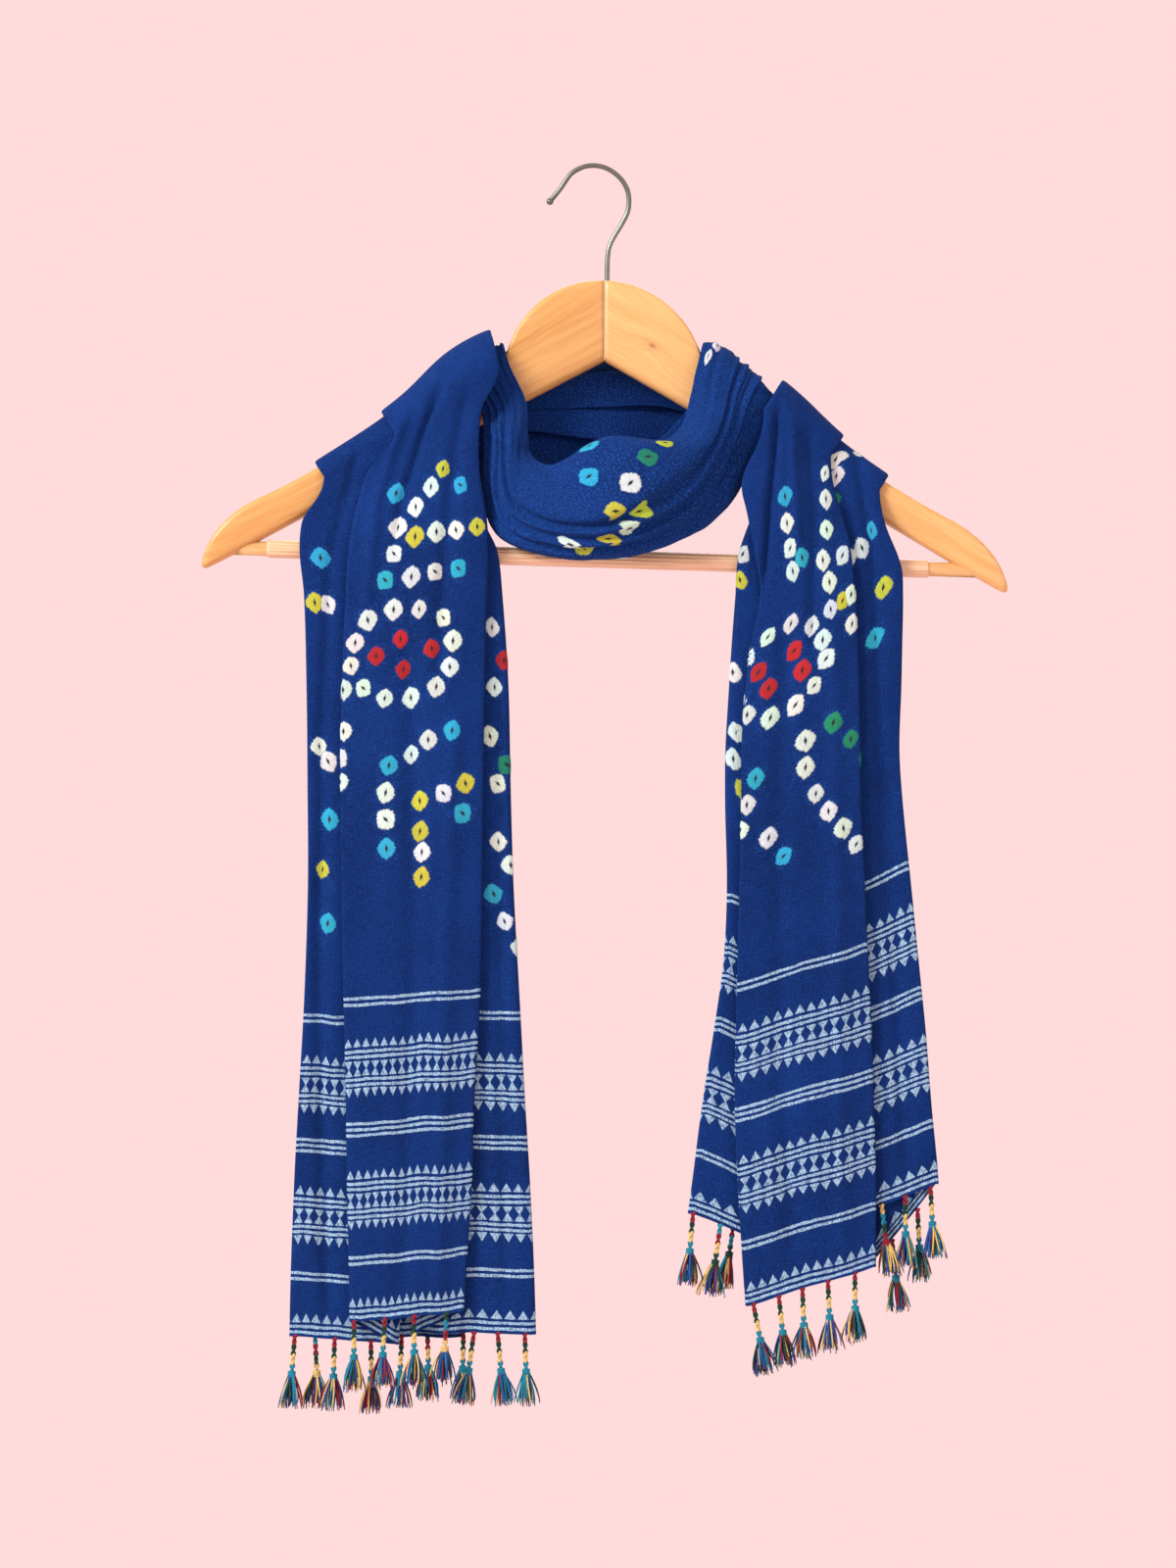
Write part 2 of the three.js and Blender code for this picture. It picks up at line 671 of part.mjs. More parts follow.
function hook() {
  const section = new THREE.Shape().absarc(0, 0, HOOK.wire, 0, 2 * Math.PI);
  const path = hookCurve();
  const sweep = { extrudePath: path, steps: 30, curveSegments: 4, bevelEnabled: false };
  const wire = new THREE.ExtrudeGeometry(section, sweep);
  const knob = new THREE.SphereGeometry(HOOK.knob, 10, 8).translate(...path.points[0].toArray());
  return geometryFrom(solid(wire).add(solid(knob)));
}

function sleeve() {
  const from = onBar(SLEEVE.left);
  const to = onBar(SLEEVE.right);
  const along = new THREE.Vector3().subVectors(to, from).normalize().multiplyScalar(5);
  const tube = solid(rod(from, to, SLEEVE.radius, 16));
  const hole = solid(rod(from.clone().sub(along), to.clone().add(along), BAR.radius + SEAM, 16));
  return geometryFrom(tube.subtract(hole));
}

// ---- Tassels --------------------------------------------------------------------------------

// Where a hem passes `x` in one of its layers.
function hemPoint(end, layer, x) {
  const section = acrossSection(listed(end.crest), LAYER_STEP.packed);
  const hem = section
    .map((point, k) => ({ layer: point.layer, t: point.t, p: hangingPoint(end, k, 1) }))
    .filter((point) => point.layer === layer);
  const i = Math.max(
    hem.findIndex(({ p }, k) => k > 0 && (p.x - x) * (hem[k - 1].p.x - x) <= 0),
    1,
  );
  const [a, b] = [hem[i - 1].p, hem[i].p];
  const slope = Math.abs((b.z - a.z) / (b.x - a.x));
  const point = a.clone().lerp(b, THREE.MathUtils.clamp((x - a.x) / (b.x - a.x), 0, 1));
  point.z -= SEAM + slope * TASSEL.stemRadius;
  return point;
}

// A twisted stem, a round head and strands that stand apart below it.
function tassel(top, sway, forward) {
  const way = new THREE.Vector3(sway, forward, -TASSEL.stem).normalize();
  const head = top.clone().addScaledVector(way, TASSEL.stem);
  let body = solid(rod(top, head, TASSEL.stemRadius, 4)).add(
    solid(new THREE.SphereGeometry(TASSEL.head, 6, 3).translate(...head.toArray())),
  );
  for (let i = 0; i < TASSEL.strands; i++) {
    const turn = ((i + 0.5) / TASSEL.strands) * 2 * Math.PI;
    const spread = i % 2 ? 0.24 : 0.14;
    const length = TASSEL.strand * (i % 3 ? 1 : 0.9);
    const round = new THREE.Vector3(Math.cos(turn), Math.sin(turn), 0);
    const root = head.clone().addScaledVector(round, TASSEL.head * 0.6);
    const aim = way.clone().addScaledVector(round, spread).normalize();
    body = body.add(solid(rod(root, root.clone().addScaledVector(aim, length), TASSEL.strandRadius, 3)));
  }
  return geometryFrom(body);
}

// ---- The object -----------------------------------------------------------------------------

const MATERIALS = {
  cloth: new THREE.MeshStandardMaterial({ color: 0x143f94, roughness: 0.95, metalness: 0 }),
  tassel: new THREE.MeshStandardMaterial({ color: 0x1b6f86, roughness: 0.95, metalness: 0 }),
  wood: new THREE.MeshStandardMaterial({ color: 0xe0a65a, roughness: 0.5, metalness: 0 }),
  wire: new THREE.MeshStandardMaterial({ color: 0xc9c9c6, roughness: 0.25, metalness: 1 }),
  sleeve: new THREE.MeshStandardMaterial({ color: 0xe6b985, roughness: 0.35, metalness: 0 }),
};

const group = new THREE.Group();

function addNode(name, geometry, material) {
  const mesh = new THREE.Mesh(geometry, material);
  mesh.name = name;
  group.add(mesh);
}

addNode("hanger_hook", hook(), MATERIALS.wire);
addNode("hanger_wing_left", wing(-1), MATERIALS.wood);
addNode("hanger_wing_right", wing(1), MATERIALS.wood);
addNode("hanger_bar", rod(onBar(-BAR.reach), onBar(BAR.reach), BAR.radius, 16), MATERIALS.wood);
addNode("hanger_sleeve", sleeve(), MATERIALS.sleeve);

addNode("shawl_end_left", clothWall(hangingEnd(LEFT)), MATERIALS.cloth);
addNode("shawl_back_inner", clothWall(backStretch(LEFT, NECK_RIGHT, BACK_INNER)), MATERIALS.cloth);
addNode("shawl_front_loop", clothWall(frontLoop()), MATERIALS.cloth);
addNode("shawl_back_outer", clothWall(backStretch(NECK_LEFT, RIGHT, BACK_OUTER)), MATERIALS.cloth);
addNode("shawl_end_right", clothWall(hangingEnd(RIGHT)), MATERIALS.cloth);

function addTassels(side, end, rows) {
  rows.forEach(({ layer, x, sway }, i) => {
    const top = hemPoint(end, layer, x);
    const forward = (0.5 - LAYERS[layer].order) * LAYER_STEP.loose;
    addNode(`tassel_${side}_${i + 1}`, tassel(top, sway, forward), MATERIALS.tassel);
  });
}
addTassels("left", LEFT, TASSELS_LEFT);
addTassels("right", RIGHT, TASSELS_RIGHT);

export default group;
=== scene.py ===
import math
import random

import bpy
import numpy as np
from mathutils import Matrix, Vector, noise


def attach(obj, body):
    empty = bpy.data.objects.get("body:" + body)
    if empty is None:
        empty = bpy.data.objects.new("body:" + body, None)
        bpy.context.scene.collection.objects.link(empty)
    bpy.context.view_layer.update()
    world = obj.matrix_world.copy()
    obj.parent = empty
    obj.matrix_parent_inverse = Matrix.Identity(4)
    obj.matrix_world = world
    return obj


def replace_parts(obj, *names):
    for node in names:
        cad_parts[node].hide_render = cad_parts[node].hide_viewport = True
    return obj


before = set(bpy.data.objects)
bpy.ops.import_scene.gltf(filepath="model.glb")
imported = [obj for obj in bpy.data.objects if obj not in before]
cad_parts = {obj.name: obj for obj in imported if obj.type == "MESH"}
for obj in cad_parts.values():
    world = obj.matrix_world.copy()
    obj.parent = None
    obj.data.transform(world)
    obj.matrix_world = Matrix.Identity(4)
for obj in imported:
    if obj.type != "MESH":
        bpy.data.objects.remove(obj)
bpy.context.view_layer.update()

# A long woven shawl with tie-dyed dots, woven bands and tassels, wound round a wooden clothes hanger.
# The tables are in millimetres, as in the part's source, and meshes are made in metres.
MM = 0.001
SHELL = 0.55  # the cloth's visual thickness
RANDOM = random.Random(11)

# ---- The part's own sizes, repeated

MIDDLE, CROWN, DOME, NECK = 8.1, -63.0, 56.0, 54.0
SLOPE, LEAN, SWEEP = 0.66, 0.0306, 0.105
HALF, ROUND = 6.5, 7.2
STEP = {"packed": 1.7, "loose": 2.6, "behind": 2}
OVER_DEGREES = 117  # how far round a wing the ends and the loop go
TURN_OVER = math.radians(OVER_DEGREES)
SEAM = 0.3


def table(columns, rows):
    names = columns.split()
    return [dict(zip(names, row)) for row in rows]


WING_TIP = table("out top foot half", [
    (157, 109.2, 132.5, 6.5), (180, 122.5, 145.7, 6.5), (197, 131.4, 155.5, 6.5), (206, 138, 160.6, 6.3),
    (213, 145, 164.4, 5.8), (218, 152, 167, 5), (221, 158.5, 168.2, 4), (222.6, 163, 167.6, 2.8)])
FOOT_MIDDLE, FOOT_SLOPE = 45, 0.557

HOOK_LINE = [
    (-22.3, -18.6), (-16.8, -11.9), (-10.4, -3.1), (-4.1, 0.5), (0.7, 1.4), (6.3, 0.9), (11.9, -1.5),
    (17.5, -6.3), (21, -12.6), (21.8, -19), (21, -24.6), (17.5, -31.7), (12.7, -39.7), (10.7, -44.4),
    (9.9, -50), (9.6, -62.7), (9.6, -76.7)]
WIRE_RADIUS, KNOB_RADIUS = 1.4, 2.0
BAR = {"drop": 156.4, "radius": 4.0, "reach": 211, "sleeve": 5.0, "left": -187, "right": 179.4}

LAYERS = [(1, 26), (2, 24), (3, 10), (4, 34), (3, 10), (2, 24), (0, 32)]  # order from the back, columns
FOLD_POINTS = 5
EDGES = ["tuckFar", "far", "innerFar", "frontFar", "frontNear", "innerNear", "near", "tuckNear"]

LEFT = {
    "folds": table("z far frontFar frontNear near", [
        (-100, -148, -113, -53, -60), (-138, -149, -117, -60, -63.5), (-168, -150.5, -123, -61, -64.5),
        (-198, -158.6, -130, -57, -59), (-215, -160, -132.7, -56, -51.5), (-240, -157.5, -134.3, -57, -48.5),
        (-290, -156.1, -136.4, -58.2, -45.2), (-345, -155.5, -137, -59, -44),
        (-400, -155.3, -136.5, -59.7, -42.4), (-463, -157.5, -135.5, -60.7, -39),
        (-523, -161, -134.4, -64.3, -35.8), (-561, -163.1, -133.9, -65.1, -33.5),
        (-610, -165, -132.8, -68.3, -31.2), (-655, -166, -132.2, -71, -29.8)]),
    "lift": table("x lift", [
        (-152, -0.1), (-120, 0.2), (-106, 1.1), (-96, 2.4), (-88, 4.2), (-80, 6.7), (-72, 9.2), (-64, 10.3),
        (-56, 10), (-50, 8.8), (-46, 7.6)]),
    "crest": dict(zip(EDGES, (-96, -147, -81, -108, -50, -73, -58, -101))),
    "hem": dict(zip(EDGES, (-650, -649, -653, -640.4, -635, -647, -648, -646))),
    "tuck": (0.7, 0.7), "settle": 0.9, "drawn": 26}
RIGHT = {
    "folds": table("z far frontFar frontNear near", [
        (-130, 162, 136, 100, 101), (-150, 163.5, 136, 88, 99), (-172, 164.5, 136.5, 82, 95),
        (-195, 167, 140.5, 86.7, 89.5), (-217, 171.5, 143.5, 91, 82.4), (-240, 172.4, 146, 94, 80.5),
        (-266, 172, 147.3, 88.9, 78.5), (-290, 171.5, 148, 86, 77), (-325, 170.5, 148.6, 83.5, 75),
        (-355, 172.4, 149, 83.5, 74.8), (-400, 177, 151.3, 82.5, 75.8), (-440, 181, 153, 81.5, 74),
        (-480, 185, 155, 80.5, 68.6), (-520, 188.2, 156.2, 80, 62.3), (-560, 192, 157.4, 81.5, 57.2),
        (-600, 194, 157.5, 83.8, 52), (-635, 195, 157.5, 86.2, 50)]),
    "lift": table("x lift", [
        (92, 7.6), (100, 6.8), (110, 5.2), (120, 3), (130, 1.1), (140, 0.3), (152, 0), (165, 0)]),
    "crest": dict(zip(EDGES, (138, 160, 118.5, 133, 96, 110.5, 98, 120))),
    "hem": dict(zip(EDGES, (-607, -565, -590, -610, -631.7, -605, -581, -592))),
    "tuck": (0.26, 0.62), "settle": 0.55, "drawn": 50}
HANG = {"bar": -28.2, "barZ": -216, "hem": -25.5, "inner": 4, "bow": 2.4, "billow": 2.2, "wave": 88}

NECK_LEFT = {
    "lift": table("x lift", [(-67, 1.2), (-55, 1.2), (-51, 0.2), (-45, -1)]),
    "crest": dict(zip(EDGES, (-58, -66, -59.5, -64, -46, -56.5, -51, -61)))}
NECK_RIGHT = {
    "lift": table("x lift", [(60, 2.6), (93, 2.6)]),
    "crest": dict(zip(EDGES, (70, 92, 79, 87, 61, 73, 64, 86)))}
BACK_INNER = [
    (-48, -124, 12, -127, -187, -4), (-38, -134, 13.6, -90, -194, 2), (-18, -141, 15.8, -42, -194, 10),
    (6, -147, 17, 2, -190, 14), (30, -154.5, 10, 36, -190, 9.6), (53, -136, 4.8, 72, -166, 4.8)]
BACK_OUTER = [
    (-38, -116, 3.4, -57, -141, 0.9), (-14, -110, 5.9, -26, -147, 5.2), (10, -106, 8.4, 8, -151, 8.6),
    (36, -109, 12.8, 44, -151.5, 18.6), (62, -122, 15, 84, -163, 16), (82, -133, 11.2, 122, -181, 2.9)]

# rightX rightLift armRightX armRightY lowZ lowY rise armLeftX armLeftY leftX leftLift
LOOP = [
    (69, 4.4, 60, -20.5, -186, -36, 0.5, -42.8, -22, -56, 3.6),
    (62.5, 4.2, 50.5, -20.5, -175, -36.5, 0.85, -38, -21.5, -48, 3.4),
    (60, 6.2, 46.5, -25.5, -169, -42, 1, -34.5, -26, -45.5, 4.4),
    (62, 9, 49.5, -33.5, -173.5, -49, 0.95, -35.5, -32, -47.5, 5),
    (66.5, 11, 56.5, -39.5, -182, -57, 0.7, -39, -36.5, -50.5, 5.6),
    (72, 11.6, 63.5, -41.5, -191, -62.5, 0.42, -42.3, -38.5, -54, 6),
    (76.5, 11.3, 68.5, -40.5, -200, -66, 0.2, -45, -38, -57, 6),
    (78.5, 9.4, 69.5, -36.4, -202.8, -61.5, 0.14, -46, -34.2, -58.5, 4.8),
    (82, 10.2, 74.5, -36.4, -207.3, -64.3, 0.07, -50, -34.5, -60.2, 5.6),
    (83.8, 8.4, 75, -32.2, -209.3, -59, 0.05, -50.5, -30.8, -61.4, 4.4),
    (87.3, 8.6, 80.5, -30.6, -213.5, -60.5, 0.02, -54, -30, -63.2, 4.9),
    (89.5, 6.8, 82, -26.4, -214.5, -54.5, 0, -54, -26.5, -64.2, 3.6),
    (97, 3.3, 91.5, -22.8, -219, -52.5, 0, -58.5, -24, -66.2, 3.5),
    (100.5, 2.2, 96.5, -19.6, -220.4, -44, 0, -58, -20, -66.6, 2.2),
    (97, 1.3, 93, -17.3, -216.5, -37, 0, -52, -17, -64.6, 1.2),
    (88, 1.3, 84, -16.4, -208, -32, 0, -45.5, -16, -61, 1.2),
    (78, 1.3, 74, -15.8, -197, -30, 0, -41, -15.6, -58, 1.2),
    (69, 1.3, 64, -15.4, -186, -30, 0, -37, -15.4, -55, 1.2)]
LOOP_ARM = {"right": -152, "left": -150}
LOOP_LOW = (6, -22)
LOOP_CORNER = {  # across, down, forward: for an even line, and for one that rises to the right
    "right": ((0.69, 0.68, 0.5), (0.42, 0.12, 1.4)),
    "left": ((0.9, 0.78, 0.3), (0.9, 0.53, 0.36))}

TASSEL = {"stem": 21, "strand": 18}
TASSELS = {  # layer, x, sway
    "left": [(1, -163, -1.5), (1, -141, -0.5), (1, -121, 0.5), (3, -130, 0.3), (3, -113, -0.8), (3, -97, 0.6),
             (3, -79, -0.8), (5, -64, -3), (5, -51, 2), (5, -36, 0.8), (0, -152, 1), (0, -104, -1),
             (6, -90, 0.5), (6, -70, -0.5)],
    "right": [(5, 57, -2), (5, 72, -3), (6, 80, -3), (3, 90, 4), (3, 104, 2), (3, 117, 0.5), (3, 131, 0.6),
              (3, 146, -0.4), (1, 161, 2.5), (1, 174, 0), (1, 188, 0.8), (0, 167, 2), (0, 181, 1),
              (6, 98, -1)]}

# ---- Small helpers


def mix(a, b, t):
    return a + (b - a) * t


def smooth(t):
    t = np.clip(t, 0, 1)
    return t * t * (3 - 2 * t)


# The value of a column where the key column reads `at`, on a smooth line through the rows.
def read(rows, key, at, column):
    keys = np.array([row[key] for row in rows], float)
    values = np.array([row[column] for row in rows], float)
    if keys[-1] < keys[0]:
        keys, values = keys[::-1], values[::-1]
    slopes = np.empty_like(values)
    slopes[1:-1] = (values[2:] - values[:-2]) / (keys[2:] - keys[:-2])
    slopes[0] = (values[1] - values[0]) / (keys[1] - keys[0])
    slopes[-1] = (values[-1] - values[-2]) / (keys[-1] - keys[-2])
    at = np.clip(np.asarray(at, float), keys[0], keys[-1])
    i = np.clip(np.searchsorted(keys, at, side="right") - 1, 0, len(keys) - 2)
    span = keys[i + 1] - keys[i]
    t = (at - keys[i]) / span
    ends = values[i] * (2 * t**3 - 3 * t**2 + 1) + values[i + 1] * (3 * t**2 - 2 * t**3)
    return ends + (slopes[i] * (t**3 - 2 * t**2 + t) + slopes[i + 1] * (t**3 - t**2)) * span


def outwards(x):
    return np.abs(x - MIDDLE)


def wood_y(x):
    return -SWEEP * outwards(x)


def leaning(x, drop):
    return CROWN - drop - LEAN * (x - MIDDLE)


def shoulder_drop(out):
    return DOME - math.sqrt(DOME**2 - NECK**2) + SLOPE * (out - NECK)


def turning_z(x):
    return leaning(x, shoulder_drop(outwards(x))) - HALF * math.hypot(1, SLOPE)


# Points of cloth over a wing: turn 0 is the front, a quarter turn the top, a half turn the back.
def over_wing(x, lift, turn):
    x, lift, turn = np.broadcast_arrays(*(np.asarray(value, float) for value in (x, lift, turn)))
    steep = mix(0.25, SLOPE, smooth((outwards(x) - 60) / 35))
    length = np.hypot(steep, 1)
    reach = ROUND + lift
    return np.stack([
        x + reach * np.sin(turn) * np.sign(x - MIDDLE) * steep / length,
        wood_y(x) - reach * np.cos(turn),
        turning_z(x) + reach * np.sin(turn) / length], axis=-1)


def curve_through(points, count_between):
    """Centripetal Catmull-Rom through points: `count_between` samples for each stretch."""
    points = np.asarray(points, float)
    ends = [2 * points[0] - points[1], *points, 2 * points[-1] - points[-2]]
    out = []
    for k in range(len(points) - 1):
        p0, p1, p2, p3 = ends[k:k + 4]
        d0, d1, d2 = (max(np.linalg.norm(b - a) ** 0.5, 1e-4) for a, b in ((p0, p1), (p1, p2), (p2, p3)))
        m1 = ((p1 - p0) / d0 - (p2 - p0) / (d0 + d1) + (p2 - p1) / d1) * d1
        m2 = ((p2 - p1) / d1 - (p3 - p1) / (d1 + d2) + (p3 - p2) / d2) * d1
        count = count_between[k] if isinstance(count_between, (list, tuple)) else count_between
        for step in range(count):
            t = step / count
            out.append(p1 * (2 * t**3 - 3 * t**2 + 1) + m1 * (t**3 - 2 * t**2 + t)
                       + p2 * (3 * t**2 - 2 * t**3) + m2 * (t**3 - t**2))
    out.append(points[-1])
    return np.array(out)


# ---- Cloth as a grid of points

class Columns:
    """The columns of one section across the seven layers, with rounded folds."""

    def __init__(self):
        layer, t, phase = [], [], []
        for i, (_, steps) in enumerate(LAYERS):
            for k in range(steps + 1):
                layer.append(i), t.append(k / steps), phase.append(-1.0)
            if i < len(LAYERS) - 1:
                for k in range(1, FOLD_POINTS + 1):
                    layer.append(i), t.append(1.0), phase.append(math.pi * k / (FOLD_POINTS + 1))
        self.layer, self.t, self.phase = np.array(layer), np.array(t), np.array(phase)
        orders = np.array([order for order, _ in LAYERS], float)
        here = orders[self.layer]
        after = orders[np.minimum(self.layer + 1, len(LAYERS) - 1)]
        turned = mix(here, after, (1 - np.cos(self.phase)) / 2)
        self.order = np.where(self.phase < 0, here, turned)
        self.turn = np.abs(np.diff(orders)) / 2
        self.count = len(layer)

    def across(self, edges, step):
        """Where each column lies between the edges. `edges` is 8 values, or 8 values for each column."""
        edges = np.asarray(edges, float)
        if edges.ndim == 1:
            edges = np.repeat(edges[:, None], self.count, axis=1)
        index = np.arange(self.count)
        start, end = edges[self.layer, index], edges[self.layer + 1, index]
        way = np.sign(end - start)
        padded = np.concatenate([[0], self.turn, [0]])
        before, after = padded[self.layer] * step, padded[self.layer + 1] * step
        flat = mix(start + way * before, end - way * after, self.t)
        folded = end - way * after * (1 - np.sin(self.phase))
        return np.where(self.phase < 0, flat, folded)


COLUMNS = Columns()


def listed(named):
    return [named[name] for name in EDGES]


def folds_at(end, z):
    far, front_far, front_near, near = (read(end["folds"], "z", z, name)
                                        for name in ("far", "frontFar", "frontNear", "near"))
    middle = (front_far + front_near) / 2
    outer = np.sign(far - near) * HANG["inner"]
    return np.array([mix(far, near, end["tuck"][0]), far, middle + outer, front_far, front_near,
                     middle - outer, near, mix(near, far, end["tuck"][1])])


def loosening(end, top, z):
    return smooth((top - z) / (top - HANG["barZ"]) / end["settle"])


def hanging_y(end, x, z, order):
    below = smooth((HANG["barZ"] - z) / 420)
    wave = HANG["billow"] * below * np.sin((z - HANG["barZ"]) / HANG["wave"])
    free = mix(HANG["bar"], HANG["hem"], below) + wave - order * STEP["loose"]
    on_wing = over_wing(x, read(end["lift"], "x", x, "lift") + order * STEP["packed"], 0)[:, 1]
    return mix(on_wing, free, loosening(end, turning_z(x), z))


def hanging_row(end, down):
    crest_at = COLUMNS.across(listed(end["crest"]), STEP["packed"])
    hems = np.array(listed(end["hem"]))
    top = turning_z(crest_at)
    hem = mix(hems[COLUMNS.layer], hems[COLUMNS.layer + 1], COLUMNS.t)
    z = mix(top, hem, down)
    loosened = loosening(end, top, z)
    here = COLUMNS.across(folds_at(end, z), mix(STEP["packed"], STEP["loose"], loosened))
    bow = np.where(COLUMNS.layer == 3, HANG["bow"] * np.sin(np.pi * COLUMNS.t) * loosened, 0)
    x = mix(crest_at, here, smooth((top - z) / end["drawn"]))
    y = hanging_y(end, x, z, COLUMNS.order) - np.where(COLUMNS.phase < 0, bow, 0)
    return np.stack([x, y, z], axis=-1)


def crossing_row(crossing, turn, gap=0.0):
    at = COLUMNS.across(listed(crossing["crest"]), STEP["packed"])
    lift = read(crossing["lift"], "x", at, "lift") + COLUMNS.order * STEP["packed"]
    return over_wing(at, lift, turn + gap / (ROUND + lift))


def hanging_end(end, rows=190):
    # closer rows near the shoulder
    downs = [1 - (k / rows) ** 0.9 for k in range(rows)]
    hanging = [hanging_row(end, down) for down in downs]
    turns = [crossing_row(end, TURN_OVER * k / 14) for k in range(15)]
    return np.array(hanging + turns)


def back_stretch(start, finish, sections, between=7):
    def parts(crossing):
        first, last = crossing["crest"]["frontNear"], crossing["crest"]["far"]
        return np.array([(x - first) / (last - first) for x in listed(crossing["crest"])])

    rows = []
    for i, (nx, nz, ny, fx, fz, fy) in enumerate(sections):
        near, far = np.array([nx, ny, nz], float), np.array([fx, fy, fz], float)
        width = np.linalg.norm(far - near)
        edges = mix(parts(start), parts(finish), (i + 1) / (len(sections) + 1)) * width
        at = COLUMNS.across(edges, STEP["behind"])
        p = near + (far - near) * (at / width)[:, None]
        p[:, 1] += COLUMNS.order * STEP["behind"]
        rows.append(p)
    behind, halfway = math.pi, math.radians(150)
    keys = np.array([crossing_row(start, TURN_OVER, SEAM / 2), crossing_row(start, halfway),
                     crossing_row(start, behind), *rows, crossing_row(finish, behind),
                     crossing_row(finish, halfway), crossing_row(finish, TURN_OVER, SEAM / 2)])
    return np.stack([curve_through(keys[:, k], between) for k in range(keys.shape[1])], axis=1)


def loop_keys(line):
    rx, rl, arx, ary, low_z, low_y, rise, alx, aly, lx, ll = line
    arm_right = np.array([arx, ary, LOOP_ARM["right"]], float)
    arm_left = np.array([alx, aly, LOOP_ARM["left"]], float)
    low = np.array([mix(*LOOP_LOW, rise), low_y, low_z], float)

    def corner(arm, shapes):
        across, down, forward = (mix(even, risen, rise) for even, risen in zip(*shapes))
        return np.array([
            mix(low[0], arm[0], across), mix(arm[1], low[1], forward), mix(arm[2], low[2], down)])

    def over(x, lift):
        """From the front of the wing over its top to the seam behind."""
        return [over_wing(x, lift, math.radians(degrees) - gap / (ROUND + lift))
                for degrees, gap in ((0, 0), (40, 0), (80, 0), (OVER_DEGREES, SEAM))]

    left = over(lx, ll)
    under = mix(left[0], arm_left, 0.55)
    under[0] = mix(lx, alx, 0.85)
    under[1] = mix(left[0][1], aly, 0.12)
    return [*over(rx, rl)[::-1], arm_right, corner(arm_right, LOOP_CORNER["right"]), low,
            corner(arm_left, LOOP_CORNER["left"]), arm_left, under, *left]


def front_loop():
    lines = np.array([loop_keys(line) for line in LOOP])
    fine = np.array([curve_through(lines[:, k], 8) for k in range(lines.shape[1])])  # keys x columns
    between = [5, 5, 5, 14, 22, 26, 26, 22, 10, 8, 5, 5, 5]
    return np.stack([curve_through(fine[:, k], between) for k in range(fine.shape[1])], axis=1)


def normals_of(grid):
    across = np.gradient(grid, axis=1)
    along = np.gradient(grid, axis=0)
    normal = np.cross(across, along)
    return normal / np.maximum(np.linalg.norm(normal, axis=-1, keepdims=True), 1e-9)


def wave_noise(points, scale, seed):
    """Smooth noise at each point, about -1 to 1."""
    flat = points.reshape(-1, 3)
    values = [noise.noise(Vector((p[0] / scale[0] + seed, p[1] / scale[1], p[2] / scale[2]))) for p in flat]
    return np.array(values).reshape(points.shape[:-1])


class Cloth:
    """A grid of cloth with its own measure: U across in mm, V along in mm from its first row."""

    def __init__(self, name, grid, outside=1):
        self.name = name
        self.grid = grid
        self.outside = outside
        middle = grid[len(grid) // 2]
        self.u = np.concatenate([[0], np.cumsum(np.linalg.norm(np.diff(middle, axis=0), axis=1))])
        steps = np.linalg.norm(np.diff(grid, axis=0), axis=2)
        self.v = np.concatenate([np.zeros((1, grid.shape[1])), np.cumsum(steps, axis=0)])
        self.normals = normals_of(grid) * outside

    def place(self, u, v, height):
        """The point of the outer face at (u, v), moved out by `height`."""
        j = np.interp(u, self.u, np.arange(len(self.u)))
        j0 = int(min(j, len(self.u) - 2))
        f = j - j0
        column = mix(self.v[:, j0], self.v[:, j0 + 1], f)
        i = np.interp(v, column, np.arange(len(column)))
        i0 = int(min(i, len(column) - 2))
        g = i - i0

        def blend(a):
            return mix(mix(a[i0, j0], a[i0, j0 + 1], f), mix(a[i0 + 1, j0], a[i0 + 1, j0 + 1], f), g)

        normal = blend(self.normals)
        return blend(self.grid) + normal / np.linalg.norm(normal) * (SHELL / 2 + height)

    def edge_u(self, name):
        """U at one of the folds between the seven layers."""
        tips = np.where((COLUMNS.layer == EDGES.index(name) - 1) & (COLUMNS.phase > 0))[0]
        return self.u[tips[len(tips) // 2]]


# ---- Meshes

def new_object(name, points, faces, material, uv=None, dot_uv=None, dye=None):
    mesh = bpy.data.meshes.new(name)
    mesh.from_pydata((np.asarray(points) * MM).tolist(), [], faces)
    loops = np.empty(len(mesh.loops), int)
    mesh.loops.foreach_get("vertex_index", loops)
    for layer, values in (("cloth", uv), ("dot", dot_uv)):
        if values is not None:
            mesh.uv_layers.new(name=layer).data.foreach_set("uv", np.asarray(values)[loops].ravel())
    if dye is not None:
        attribute = mesh.color_attributes.new("dye", "FLOAT_COLOR", "POINT")
        attribute.data.foreach_set("color", np.asarray(dye, float).ravel())
    mesh.polygons.foreach_set("use_smooth", [True] * len(mesh.polygons))
    mesh.update()
    obj = bpy.data.objects.new(name, mesh)
    bpy.context.scene.collection.objects.link(obj)
    mesh.materials.append(material)
    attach(obj, "root")
    return obj


def grid_faces(height, width, start=0, flip=False):
    i, j = np.meshgrid(np.arange(height - 1), np.arange(width - 1), indexing="ij")
    a = start + i * width + j
    quads = np.stack([a, a + 1, a + 1 + width, a + width], axis=-1).reshape(-1, 4)
    return quads[:, ::-1] if flip else quads


